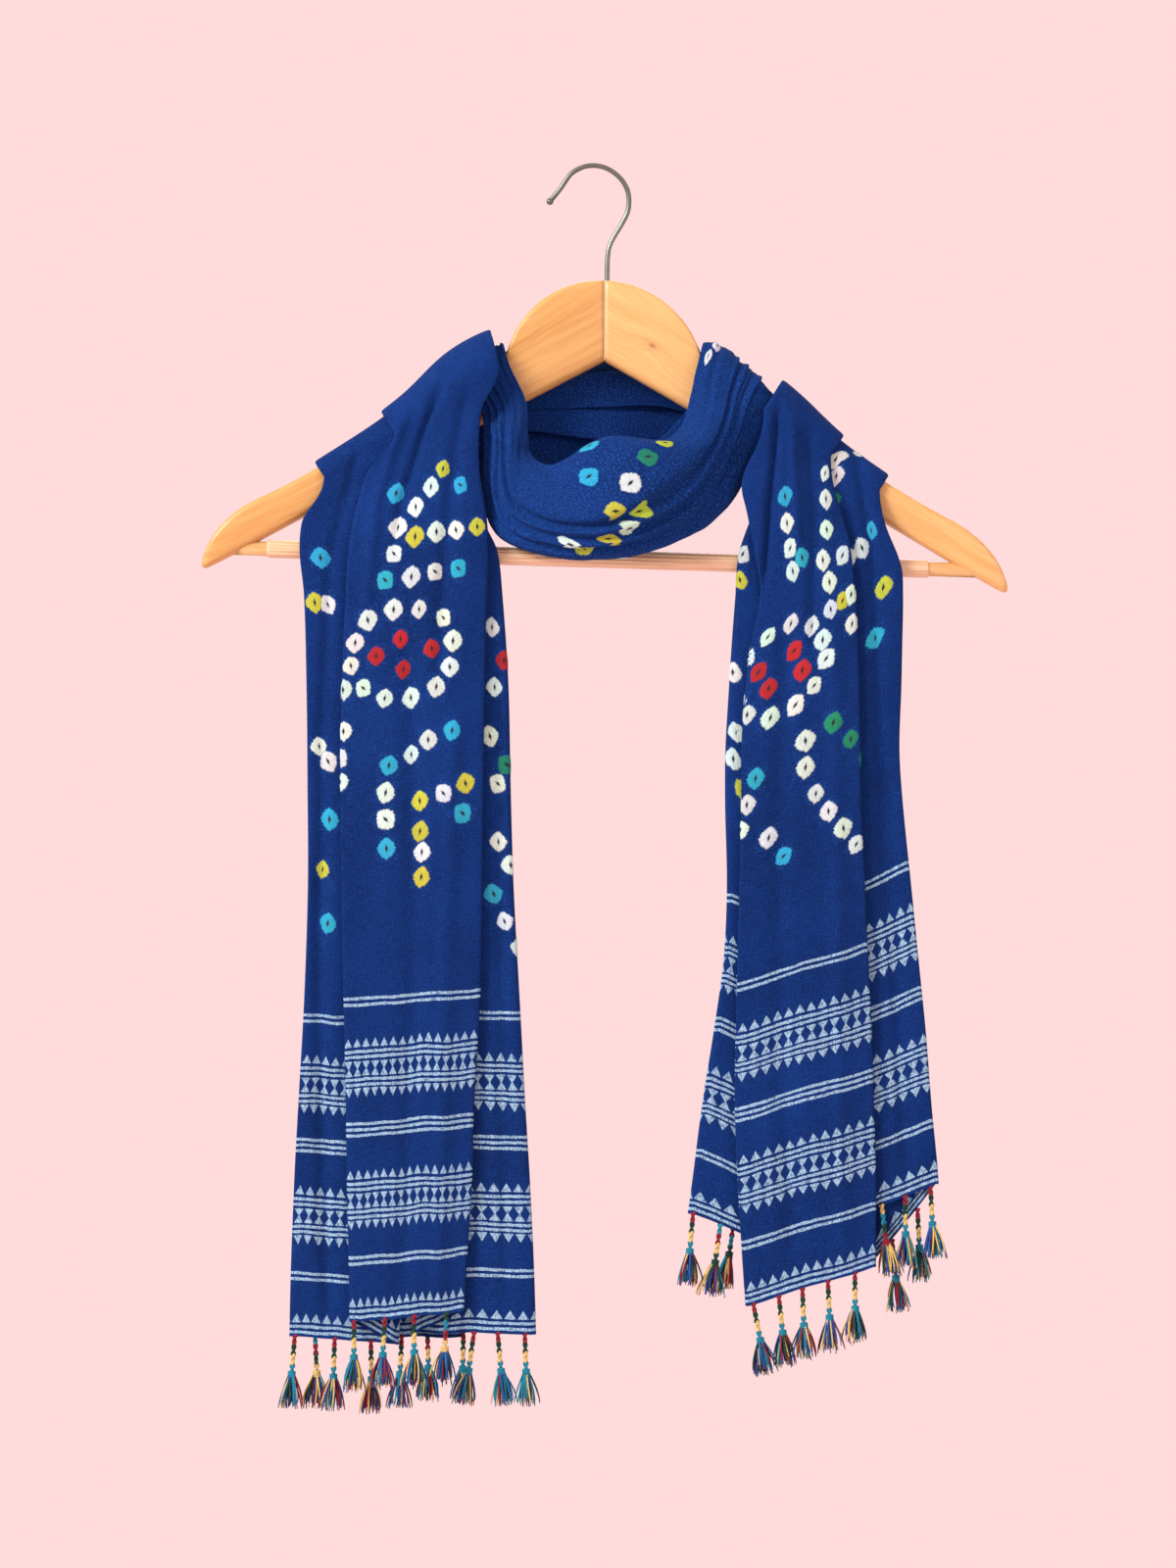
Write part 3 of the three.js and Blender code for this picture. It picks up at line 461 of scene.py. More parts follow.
def cloth_object(cloth, material):
    """A closed thin shell on the cloth's grid."""
    grid, normals = cloth.grid, cloth.normals
    height, width = grid.shape[:2]
    outer = (grid + normals * SHELL / 2).reshape(-1, 3)
    inner = (grid - normals * SHELL / 2).reshape(-1, 3)
    count = height * width
    flip = cloth.outside > 0
    faces = [grid_faces(height, width, 0, not flip), grid_faces(height, width, count, flip)]

    def rim(line):
        a, b = np.array(line[:-1]), np.array(line[1:])
        return np.stack([a, b, b + count, a + count], axis=-1)

    first, last = np.arange(width), (height - 1) * width + np.arange(width)
    left, right = np.arange(height) * width, np.arange(height) * width + width - 1
    for line, turned in ((first, False), (last, True), (left, True), (right, False)):
        quads = rim(line)
        faces.append(quads[:, ::-1] if turned == flip else quads)
    u = np.broadcast_to(cloth.u, (height, width))
    uv = np.stack([u, cloth.v], axis=-1).reshape(-1, 2) * MM
    return new_object(cloth.name, np.concatenate([outer, inner]), np.concatenate(faces).tolist(),
                      material, uv=np.concatenate([uv, uv]))


# ---- Node graphs

class Value:
    """A socket of a shader graph that can be written in sums."""

    def __init__(self, graph, socket):
        self.graph, self.socket = graph, socket

    def __add__(self, other):
        return self.graph.math("ADD", self, other)

    def __sub__(self, other):
        return self.graph.math("SUBTRACT", self, other)

    def __mul__(self, other):
        return self.graph.math("MULTIPLY", self, other)

    def __truediv__(self, other):
        return self.graph.math("DIVIDE", self, other)

    def __pow__(self, other):
        return self.graph.math("POWER", self, other)

    def __abs__(self):
        return self.graph.math("ABSOLUTE", self)


class Graph:
    """A material, with short names for the shader nodes used below."""

    def __init__(self, name):
        self.material = bpy.data.materials.new(name)
        self.material.use_nodes = True
        self.tree = self.material.node_tree
        self.tree.nodes.clear()
        output = self.tree.nodes.new("ShaderNodeOutputMaterial")
        self.shader = self.tree.nodes.new("ShaderNodeBsdfPrincipled")
        self.tree.links.new(self.shader.outputs[0], output.inputs[0])

    def feed(self, sockets, values):
        """Link each value to its socket, or set the socket where the value is a plain number."""
        for socket, value in zip(sockets, values):
            if isinstance(value, Value):
                self.tree.links.new(value.socket, socket)
            elif value is not None:
                socket.default_value = value

    def node(self, kind, values=(), at=None, output=0, **settings):
        """A new node's output. `at` names the inputs that take the values, or they go in order."""
        node = self.tree.nodes.new(kind)
        for key, value in settings.items():
            setattr(node, key, value)
        self.feed(node.inputs if at is None else [node.inputs[key] for key in at], values)
        return Value(self, node.outputs[output])

    def math(self, operation, a, b=None):
        return self.node("ShaderNodeMath", (a, b), operation=operation)

    def remap(self, value, low, high, new_low=0.0, new_high=1.0):
        return self.node("ShaderNodeMapRange", (value, low, high, new_low, new_high), clamp=True)

    def blend(self, factor, a, b):
        return self.node("ShaderNodeMix", (factor, a, b), at=(0, 6, 7), output=2, data_type="RGBA")

    def uv(self, name):
        return self.node("ShaderNodeUVMap", uv_map=name)

    def dye(self):
        return self.node("ShaderNodeAttribute", output="Color", attribute_name="dye")

    def object_position(self):
        return self.node("ShaderNodeTexCoord", output="Object")

    def split(self, vector):
        node = self.tree.nodes.new("ShaderNodeSeparateXYZ")
        self.feed(node.inputs, (vector,))
        return [Value(self, socket) for socket in node.outputs]

    def join(self, x, y, z=0.0):
        return self.node("ShaderNodeCombineXYZ", (x, y, z))

    def noise(self, vector, scale, detail, roughness):
        return self.node("ShaderNodeTexNoise", (vector, scale, detail, roughness),
                         at=("Vector", "Scale", "Detail", "Roughness"))

    def scaled(self, vector, factors):
        return self.node("ShaderNodeVectorMath", (vector, factors), operation="MULTIPLY")

    def ramp(self, value, stops):
        node = self.tree.nodes.new("ShaderNodeValToRGB")
        elements = node.color_ramp.elements
        while len(elements) < len(stops):
            elements.new(0.5)
        for element, (position, level) in zip(elements, stops):
            element.position = position
            element.color = (level, level, level, 1)
        self.feed(node.inputs, (value,))
        return Value(self, node.outputs[0])

    def surface(self, looks, bump=None):
        """The material, with the shader's inputs set by name and its bump (height, distance, strength)."""
        if bump:
            looks["Normal"] = self.node("ShaderNodeBump", bump, at=("Height", "Distance", "Strength"))
        self.feed([self.shader.inputs[name] for name in looks], looks.values())
        return self.material


# Where the woven bands lie, in mm above the hem: each profile is the share of the triangle pitch
# that is woven white at that height, so 1 is a full stripe and a ramp is a row of triangles.
TRIANGLE_PITCH = 5.6
TRIANGLE = 0.95


def stripes(*heights):
    stops = []
    for height in heights:
        stops += [(height - 0.95, 0), (height - 0.75, 1), (height + 0.75, 1), (height + 0.95, 0)]
    return stops


def big_band(start):
    """Triangles, two stripes, a row of hourglasses, two stripes and triangles the other way up."""
    def raised(*profile):
        return [(start + height, level) for height, level in profile]

    return (raised((0, 0), (5.2, TRIANGLE), (5.4, 0)) + stripes(start + 7.2, start + 10.2)
            + raised((12.0, 0), (12.2, TRIANGLE), (16.2, 0.16), (20.2, TRIANGLE), (20.4, 0))
            + stripes(start + 22.6, start + 25.6) + raised((28.0, 0), (28.2, TRIANGLE), (33.4, 0)))


BANDS = [
    stripes(2.6, 5.8) + [(8.0, 0), (8.2, TRIANGLE), (13.6, 0)],
    stripes(32.0, 35.2),
    big_band(50.4),
    stripes(102.6, 105.8, 109.0),
    big_band(123.0),
    stripes(174.6, 178.0),
]

BLUE_DARK = (0.0026, 0.0130, 0.072, 1)
BLUE = (0.0055, 0.0320, 0.175, 1)
BLUE_LIGHT = (0.0160, 0.0950, 0.400, 1)
WEFT_WHITE = (0.30, 0.50, 0.64, 1)
DYE_SEEP = (0.02, 0.06, 0.12, 1)
TIE_MARK = (0.030, 0.030, 0.035, 1)
YARN_SHADE = (0.004, 0.008, 0.018, 1)
THREAD_WAVE = 2 * math.pi / 0.0007
DOT_SQUARENESS = 1.45
KNOT_CORE, KNOT_HALO = (0.20, 0.075, 0.02, 1), (0.50, 0.24, 0.08, 1)


def cloth_colour(g, heather):
    """The dyed blue of the plain weave, with its slubs and faint streaks, and the thread height."""
    u, v, _ = g.split(g.uv("cloth"))
    threads = g.join(u, v)
    across = g.noise(g.scaled(threads, (1.0, 14.0, 1)), 170, 3.0, 0.6)
    along = g.noise(g.scaled(threads, (14.0, 1.0, 1)), 150, 3.0, 0.6)
    cloudy = g.noise(threads, 14, 4.0, 0.6)
    speckle = g.noise(threads, 900, 2.0, 0.6)
    tone = across * 0.4 + along * 0.34 + cloudy * 0.26
    colour = g.blend(g.remap(tone, 0.40, 0.62), BLUE_DARK, BLUE)
    colour = g.blend(g.remap(speckle, 0.46, 0.70) * heather, colour, BLUE_LIGHT)
    weave = g.math("SINE", u * THREAD_WAVE) * g.math("SINE", v * THREAD_WAVE)
    return u, v, colour, weave * 0.35 + speckle + tone * 1.6


def finish_cloth(g, colour, height):
    return g.surface({
        "Base Color": colour, "Roughness": 0.92, "Specular IOR Level": 0.05, "Sheen Weight": 0.05,
        "Sheen Roughness": 0.55, "Sheen Tint": (0.15, 0.4, 0.95, 1)}, bump=(height, 0.00022, 0.7))


def cloth_material(name, heather, bands):
    g = Graph(name)
    u, v, colour, height = cloth_colour(g, heather)
    if bands:
        wander = g.noise(g.join(u, v), 60, 2.0, 0.5)
        v_mm = v * 1000 + g.remap(wander, 0.3, 0.7, -0.45, 0.45)
        u_mm = u * 1000 + g.remap(wander, 0.3, 0.7, 0.3, -0.3)
        beside = abs(g.math("FRACT", u_mm / TRIANGLE_PITCH) - 0.5) * 2
        share = None
        for profile in BANDS:
            low, high = profile[0][0] - 1, profile[-1][0] + 1
            stops = [((at - low) / (high - low), level) for at, level in profile]
            level = g.ramp(g.remap(v_mm, low, high), [(0, 0), *stops, (1, 0)])
            share = level if share is None else g.math("MAXIMUM", share, level)
        grain = g.noise(g.scaled(g.join(u, v), (1.0, 0.32, 1)), 1500, 2.0, 0.7)
        stripe = g.math("GREATER_THAN", share, 0.97)
        solid = g.math("MAXIMUM", g.remap(share - beside, 0.02, 0.14), stripe)
        colour = g.blend(solid * g.remap(grain, 0.36, 0.56, 0.20, 1.0), colour, WEFT_WHITE)
        height = height + solid * 1.4
    return finish_cloth(g, colour, height)


def dot_material():
    """A tied and dyed dot: a pale puckered ring round a dark tie mark, ragged where the dye crept in."""
    g = Graph("dyed_dots")
    u, v, colour, height = cloth_colour(g, 0.5)
    a, b, _ = g.split(g.uv("dot"))
    radius = (abs(a) ** DOT_SQUARENESS + abs(b) ** DOT_SQUARENESS) ** (1 / DOT_SQUARENESS)
    angle = g.math("ARCTAN2", b, a)
    ragged = g.noise(g.join(angle * 1.6, u, v), 3.2, 3.0, 0.6)
    streaks = g.noise(g.join(angle * 3.5, radius * 0.6, v), 4.0, 3.0, 0.7)
    outer = g.remap(ragged, 0.3, 0.7, -0.07, 0.07) + 0.84
    inside = g.remap(outer - radius, -0.03, 0.10)
    mark = g.remap(abs(a * 2.4) + abs(b), 0.22, 0.42)
    pale = g.blend(g.remap(streaks, 0.42, 0.72, 0.0, 0.42), g.dye(), DYE_SEEP)
    pale = g.blend(mark, TIE_MARK, pale)
    return finish_cloth(g, g.blend(inside, colour, pale), height + streaks * inside * 3.0)


def yarn_material():
    g = Graph("tassel_yarn")
    fuzz = g.noise(g.object_position(), 1600, 2.0, 0.6)
    colour = g.blend(g.remap(fuzz, 0.38, 0.66, 0.0, 0.35), g.dye(), YARN_SHADE)
    return g.surface({"Base Color": colour, "Roughness": 0.9, "Specular IOR Level": 0.2,
                      "Sheen Weight": 0.05}, bump=(fuzz, 0.0003, 0.6))


def wood_material(name, light, dark, knot=None):
    """Lacquered pale wood, its grain along U."""
    g = Graph(name)
    grain_uv = g.uv("cloth")
    warp = g.noise(g.scaled(grain_uv, (1.0, 3.0, 1)), 9, 3.0, 0.5)
    u, v, _ = g.split(grain_uv)
    bent = v + warp * 0.022
    if knot:
        away = g.math("SQRT", (u - knot[0]) ** 2 + (v - knot[1]) ** 2 * 3)
        bent = bent + g.remap(away, 0.002, 0.02, 0.006, 0.0)
    fine = g.noise(g.join(u * 2.2, bent * 60), 9, 4.0, 0.6)
    rings = g.noise(g.join(u * 0.8, bent * 14), 8, 3.0, 0.5)
    pores = g.noise(g.join(u * 12, v * 320), 9, 2.0, 0.6)
    colour = g.blend(g.remap(fine * 0.5 + rings * 0.5, 0.36, 0.66), light, dark)
    colour = g.blend(g.remap(pores, 0.60, 0.72, 0.0, 0.35), colour, dark)
    if knot:
        colour = g.blend(g.remap(away, 0.0006, 0.0030, 0.85, 0.0), colour, KNOT_CORE)
        colour = g.blend(g.remap(away, 0.0030, 0.0075, 0.30, 0.0), colour, KNOT_HALO)
    return g.surface({"Base Color": colour, "Roughness": 0.42, "Coat Weight": 0.25,
                      "Coat Roughness": 0.25}, bump=(fine + pores, 0.00012, 0.4))


def wire_material():
    g = Graph("plated_wire")
    wear = g.noise(g.object_position(), 40, 3.0, 0.6)
    colour = g.blend(g.remap(wear, 0.4, 0.7), (0.20, 0.225, 0.20, 1), (0.12, 0.135, 0.12, 1))
    roughness = g.remap(wear, 0.3, 0.7, 0.30, 0.42)
    return g.surface({"Base Color": colour, "Metallic": 1.0, "Roughness": roughness})


def sleeve_material():
    g = Graph("bar_sleeve")
    u, v, _ = g.split(g.uv("cloth"))
    streak = g.noise(g.join(u * 3, v * 200), 6, 3.0, 0.6)
    colour = g.blend(g.remap(streak, 0.35, 0.65), (0.80, 0.56, 0.33, 1), (0.52, 0.31, 0.15, 1))
    return g.surface({"Base Color": colour, "Roughness": 0.22, "Coat Weight": 0.8, "Coat Roughness": 0.12})


# ---- Creases

def crease(points, line, width, depth):
    """A soft trough (or ridge, if depth is negative) along a falling line of (z, x) points."""
    z, x = np.array(line[::-1], float).T
    centre = np.interp(points[..., 2], z, x)
    fade = smooth((points[..., 2] - z[0]) / 25 + 0.001) * smooth((z[-1] - points[..., 2]) / 18 + 0.001)
    return depth * np.exp(-((points[..., 0] - centre) / (0.8 * width)) ** 2) * fade


LEFT_CREASES = [  # the line as (z, x), width, depth towards the back
    ([(-112, -78), (-150, -92), (-190, -104), (-225, -109)], 3.2, 1.6),
    ([(-118, -66), (-160, -74), (-220, -80), (-300, -84)], 5.0, 1.1),
    ([(-150, -126), (-220, -143), (-320, -148), (-420, -147)], 3.5, 0.9),
    ([(-130, -100), (-190, -118), (-260, -124)], 4.0, -1.0),
    ([(-260, -100), (-380, -96), (-520, -99), (-640, -104)], 7.0, 1.0),
    ([(-300, -74), (-420, -79), (-560, -82), (-640, -84)], 6.0, -0.9),
    ([(-380, -150), (-480, -149), (-580, -147), (-650, -144)], 4.0, 1.2),
    ([(-260, -50), (-380, -50), (-500, -48), (-640, -46)], 4.0, 0.8),
]
RIGHT_CREASES = [
    ([(-128, 104), (-162, 102), (-190, 99), (-214, 97.5), (-245, 95)], 2.6, 1.8),
    ([(-140, 120), (-200, 124), (-280, 122)], 4.5, 1.1),
    ([(-150, 146), (-220, 156), (-330, 160), (-430, 163)], 4.0, 1.2),
    ([(-250, 108), (-380, 104), (-500, 106), (-620, 112)], 7.0, 1.0),
    ([(-260, 134), (-380, 136), (-500, 138), (-620, 140)], 6.0, -0.8),
    ([(-330, 165), (-420, 168), (-500, 171), (-570, 176)], 4.0, 1.0),
    ([(-130, 112), (-170, 112), (-230, 116)], 3.0, -0.9),
]


SHOULDER_Z, SHOULDER_REACH = -150, 60


def rounded(grid, top, reach):
    """The grid with its folded corners eased near the crest, as soft cloth turns over wood."""
    eased = grid.copy()
    for _ in range(4):
        eased[:, 1:-1] = 0.25 * eased[:, :-2] + 0.5 * eased[:, 1:-1] + 0.25 * eased[:, 2:]
    share = smooth(1 - (top - grid[..., 2]) / reach)[..., None]
    return mix(grid, eased, share)


def crease_end(grid, creases, seed):
    """Soft folds that all layers share, and a slight waviness of each layer."""
    moved = rounded(grid, SHOULDER_Z, SHOULDER_REACH)
    shared = 2.3 * sum(crease(grid, *one) for one in creases)
    below = smooth((SHOULDER_Z - grid[..., 2]) / SHOULDER_REACH)
    flat = grid.copy()
    flat[..., 1] = 0
    shared = shared + 1.9 * below * wave_noise(flat, (46, 1, 150), seed)
    shared = shared + 0.85 * below * wave_noise(flat, (15, 1, 60), seed + 7)
    each = 0.28 * wave_noise(grid * np.array([1, 4, 1]), (22, 8, 70), seed + 3)
    moved[..., 1] += shared + each
    hem = smooth((grid[..., 2] - grid[0, :, 2]) / -14 + 1)
    moved[..., 2] += hem * 0.9 * wave_noise(flat, (17, 1, 400), seed + 5)
    return moved


def crease_loop(grid, seed):
    """Creases that run along the loop, deeper where the cloth gathers at the arms."""
    rows, cols = grid.shape[:2]
    normal = normals_of(grid)
    u = np.linspace(0, 1, cols)[None, :]
    v = np.linspace(0, 1, rows)[:, None]
    gathered = 0.35 + 0.65 * np.abs(2 * v - 1) ** 1.5
    ripple = np.sin(2 * np.pi * (13 * u + 0.9 * np.sin(2 * np.pi * v + 1) + 1.2 * v))
    ripple += 0.6 * np.sin(2 * np.pi * (21 * u - 2.1 * v + 0.4 * np.sin(5 * v)))
    rough = wave_noise(grid, (26, 26, 14), seed)
    slack = wave_noise(grid, (9, 9, 5), seed + 4)
    amount = 0.42 * gathered * ripple + 1.1 * rough * (1.1 - gathered) + 0.34 * slack
    edge = np.minimum(1, np.minimum(u, 1 - u) * 20 + 0.15)
    return grid + normal * (amount * edge)[..., None]


def crease_back(grid, seed):
    rows, cols = grid.shape[:2]
    normal = normals_of(grid)
    v = np.linspace(0, 1, rows)[:, None]
    fade = np.sin(np.pi * v) ** 0.5
    amount = 0.5 * wave_noise(grid, (38, 9, 5.5), seed) * fade
    return grid + normal * amount[..., None]


# ---- Dots

DYES = {
    "w": (0.62, 0.78, 0.72, 1), "y": (0.50, 0.57, 0.045, 1), "c": (0.030, 0.38, 0.56, 1),
    "g": (0.018, 0.235, 0.120, 1), "r": (0.42, 0.020, 0.016, 1)}
DOT_SIZE = 11.2

# Rings and chains of dots, listed under the edge they are measured from. Across is positive towards
# the near edge, and up is from the hem. Rings: across, up, radius across, radius up, dyes, turn.
# Chains: across, up, step across, step up, dyes.
LEFT_RINGS = {
    "frontFar": [(35, 366, 30, 26, "wwwwwwwwwwww", 12), (35, 366, 16, 8, "rrrr", 4)],
    "near": [(40, 372, 28, 25, "wwwwwwwwwwww", 0), (40, 372, 15, 9, "rrrr", 0)]}
LEFT_CHAINS = {
    "frontFar": [
        (29, 436, 9.4, 10.5, "wwwy"), (40, 431, 12.4, 0.8, "ywwy"), (23, 408, 14.4, 1.2, "cwwc"),
        (27, 421, 0, 0, "w"), (25, 455, 44, 2, "cc"), (64, 323, -11.9, -6, "cwwc"),
        (27, 291, -0.4, -15.6, "wwc"), (74, 293, -14, -5, "ywy"), (47, 268, 0.6, -13, "ywy"),
        (72, 276, 0, 0, "c"), (2, 348, -9.4, -9.2, "ww"), (1, 325, -1, -14, "www")],
    "far": [
        (8, 326, 0, 0, "w"), (11, 430, 4, -24, "cw"), (6, 405, 0, 0, "y"), (14, 318, 0.4, -31, "wc"),
        (10, 258, 4, -28, "yc")],
    "near": [
        (-10, 390, 1, -32, "ww"), (-3, 372, 0, -57, "rg"), (-12, 330, 4, -26, "ww"),
        (-9, 272, 6, -13, "ww"), (-12, 243, 6, -14, "cww"), (14, 320, 11, -9, "wcwy"),
        (18, 440, 12, -4, "ywwc"), (60, 300, 2, -15, "wwcy")]}
RIGHT_RINGS = {
    "frontFar": [(48, 344, 27, 24, "wwwwwwwwwwww", 8), (48, 344, 15, 9, "rrrr", 30)],
    "near": [(42, 340, 28, 25, "wwwwwwwwwwww", 0), (42, 340, 15, 9, "rrrr", 0)]}
RIGHT_CHAINS = {
    "frontFar": [
        (40, 438, 1.2, -13.8, "cwww"), (7, 443, 4.4, -15.4, "www"), (20, 397, -1, -14.6, "www"),
        (36, 401, 0, 0, "c"), (6, 394, -2, -22, "ww"), (9, 370, -4, -14, "yw"),
        (31, 300, 0, -14.6, "ww"), (26, 270, -7, -12, "wwww"), (16, 306, -9, -13, "ggg"),
        (60, 290, 4, -14, "cww"), (52, 254, -7, -13, "wc")],
    "far": [
        (22, 424, 10, -5, "ww"), (32, 408, 4, -14, "wg"), (12, 368, 0, 0, "c"), (24, 362, 8, -1, "ww"),
        (13, 336, 4, -26, "yc")],
    "near": [
        (-4, 365, 0, -14, "wy"), (-3, 300, -4, -30, "wwy"), (-6, 268, 0, -14, "ww"),
        (16, 400, 12, -6, "ywwc"), (22, 292, 12, -9, "wcwy")]}
# On the loop and behind: fraction across, fraction along, and steps of the same.
LOOP_CHAINS = [
    (0.30, 0.30, 0.05, 0.05, "ygwy"), (0.20, 0.40, 0.10, 0.05, "cc"), (0.50, 0.40, 0.04, 0.04, "ywy"),
    (0.60, 0.55, 0.04, -0.03, "wy"), (0.30, 0.05, -0.05, 0.03, "ww"), (0.75, 0.45, 0.04, 0.02, "wcwy")]
BACK_CHAINS = [
    (0.50, 0.22, 0.03, 0.05, "wwwy"), (0.46, 0.45, 0.02, 0.06, "cwwc"), (0.55, 0.62, -0.02, 0.05, "wrwy"),
    (0.40, 0.72, 0.03, 0.04, "wwg"), (0.58, 0.34, 0.01, 0.05, "yww")]

DOT_GRID = 9
DOT_MARGIN = 6  # no dot is centred nearer to the side of the cloth than this


def dot_places(cloth, rings, chains):
    for edge, rows in rings.items():
        for across, up, radius_across, radius_up, dyes, turn in rows:
            for k, dye in enumerate(dyes):
                angle = math.radians(turn) + 2 * math.pi * k / len(dyes)
                u = cloth.edge_u(edge) + across + radius_across * math.cos(angle)
                yield u, up + radius_up * math.sin(angle), dye
    for edge, rows in chains.items():
        for across, up, step_across, step_up, dyes in rows:
            for k, dye in enumerate(dyes):
                yield cloth.edge_u(edge) + across + k * step_across, up + k * step_up, dye


def fraction_places(cloth, chains):
    width, length = cloth.u[-1], cloth.v[:, cloth.grid.shape[1] // 2][-1]
    for across, along, step_across, step_along, dyes in chains:
        for k, dye in enumerate(dyes):
            yield (across + k * step_across) * width, (along + k * step_along) * length, dye


def dots_object(name, cloth, places, material):
    """Each dot is a small patch on the cloth's own surface, puckered up to its tie mark."""
    points, faces, uv, dot_uv, dyes = [], [], [], [], []
    span = np.linspace(-1, 1, DOT_GRID)
    for u, v, dye in places:
        if not DOT_MARGIN < u < cloth.u[-1] - DOT_MARGIN:
            continue
        start = len(points)
        turn = RANDOM.uniform(-0.3, 0.3) + (math.pi / 4 if RANDOM.random() < 0.2 else 0)
        size = DOT_SIZE / 2 * RANDOM.uniform(0.92, 1.12) * 1.22
        stretch = RANDOM.uniform(0.86, 1.0)
        colour = [min(1, max(0, c * RANDOM.uniform(0.88, 1.1))) for c in DYES[dye][:3]] + [1]
        u += RANDOM.uniform(-1.0, 1.0)
        v += RANDOM.uniform(-1.0, 1.0)
        for b in span:
            for a in span:
                du = size * stretch * (a * math.cos(turn) - b * math.sin(turn))
                dv = size * (a * math.sin(turn) + b * math.cos(turn))
                r = min(1, math.hypot(a, b))
                height = 0.10 + 0.55 * (1 - r * r) ** 2 - 0.35 * math.exp(-(r / 0.16) ** 2)
                if max(abs(a), abs(b)) == 1:
                    height = 0.02
                points.append(cloth.place(u + du, v + dv, height))
                uv.append(((u + du) * MM, (v + dv) * MM))
                dot_uv.append((a, b))
                dyes.append(colour)
        faces += grid_faces(DOT_GRID, DOT_GRID, start, cloth.outside < 0).tolist()
    return new_object(name, points, faces, material, uv=uv, dot_uv=dot_uv, dye=dyes)


# ---- Tubes

def ring_faces(rings, sides, start=0):
    """The faces between rings of points numbered from `start`, and last a cap on each end."""
    faces = []
    for i in range(rings - 1):
        for k in range(sides):
            a, b = start + i * sides + k, start + i * sides + (k + 1) % sides
            faces.append((a, b, b + sides, a + sides))
    faces.append(tuple(start + k for k in reversed(range(sides))))
    faces.append(tuple(start + (rings - 1) * sides + k for k in range(sides)))
    return faces


def tube(path, radii, sides, start):
    """Rings of points along a path, and their faces numbered from `start`."""
    path = np.asarray(path, float)
    tangents = np.gradient(path, axis=0)
    tangents /= np.linalg.norm(tangents, axis=1, keepdims=True)
    side = np.cross(tangents[0], (0.31, 0.87, 0.22))  # any way that no path runs along
    side /= np.linalg.norm(side)
    points = []
    for p, tangent, radius in zip(path, tangents, radii):
        side = side - tangent * side.dot(tangent)
        side /= np.linalg.norm(side)
        other = np.cross(tangent, side)
        for k in range(sides):
            angle = 2 * math.pi * k / sides
            points.append(p + radius * (math.cos(angle) * side + math.sin(angle) * other))
    return points, ring_faces(len(path), sides, start)


# ---- Tassels

YARN = {
    "red": (0.24, 0.012, 0.022, 1), "green": (0.008, 0.050, 0.030, 1), "cream": (0.66, 0.50, 0.16, 1),
    "turquoise": (0.010, 0.235, 0.330, 1), "blue": (0.020, 0.070, 0.300, 1)}
STEM_BANDS = ["red", "green", "cream", "turquoise"]
STRAND_MIX = ["blue"] * 5 + ["green"] * 3 + ["red"] * 3 + ["cream"] * 3 + ["turquoise"] * 3
STEM_STEPS, STEM_SIDES, STEM_RADIUS, PLY_TURNS, PLY_RADIUS = 44, 8, 0.84, 3.2, 0.62
WRAPS, WRAP_POINTS, WRAP_SIDES, WRAP_PITCH, WRAP_RADIUS, WRAP_YARN = 4, 13, 6, 0.9, 1.75, 0.55
STRANDS, STRAND_SIDES, STRAND_RADII = 46, 5, [0.50, 0.50, 0.48, 0.46, 0.42, 0.26]
OVERLAP = 1.2  # how far a stem reaches up into the hem


def hem_point(end, layer, x):
    """The point under the hem of a layer from which a tassel hangs."""
    hem = hanging_row(end, 1.0)[COLUMNS.layer == layer]
    hem = hem[np.argsort(hem[:, 0])]
    y, z = (np.interp(x, hem[:, 0], hem[:, axis]) for axis in (1, 2))
    beside = np.interp(x + 2, hem[:, 0], hem[:, 2])
    return np.array([x, y, z - SEAM - abs(beside - z) / 2 * 1.2])


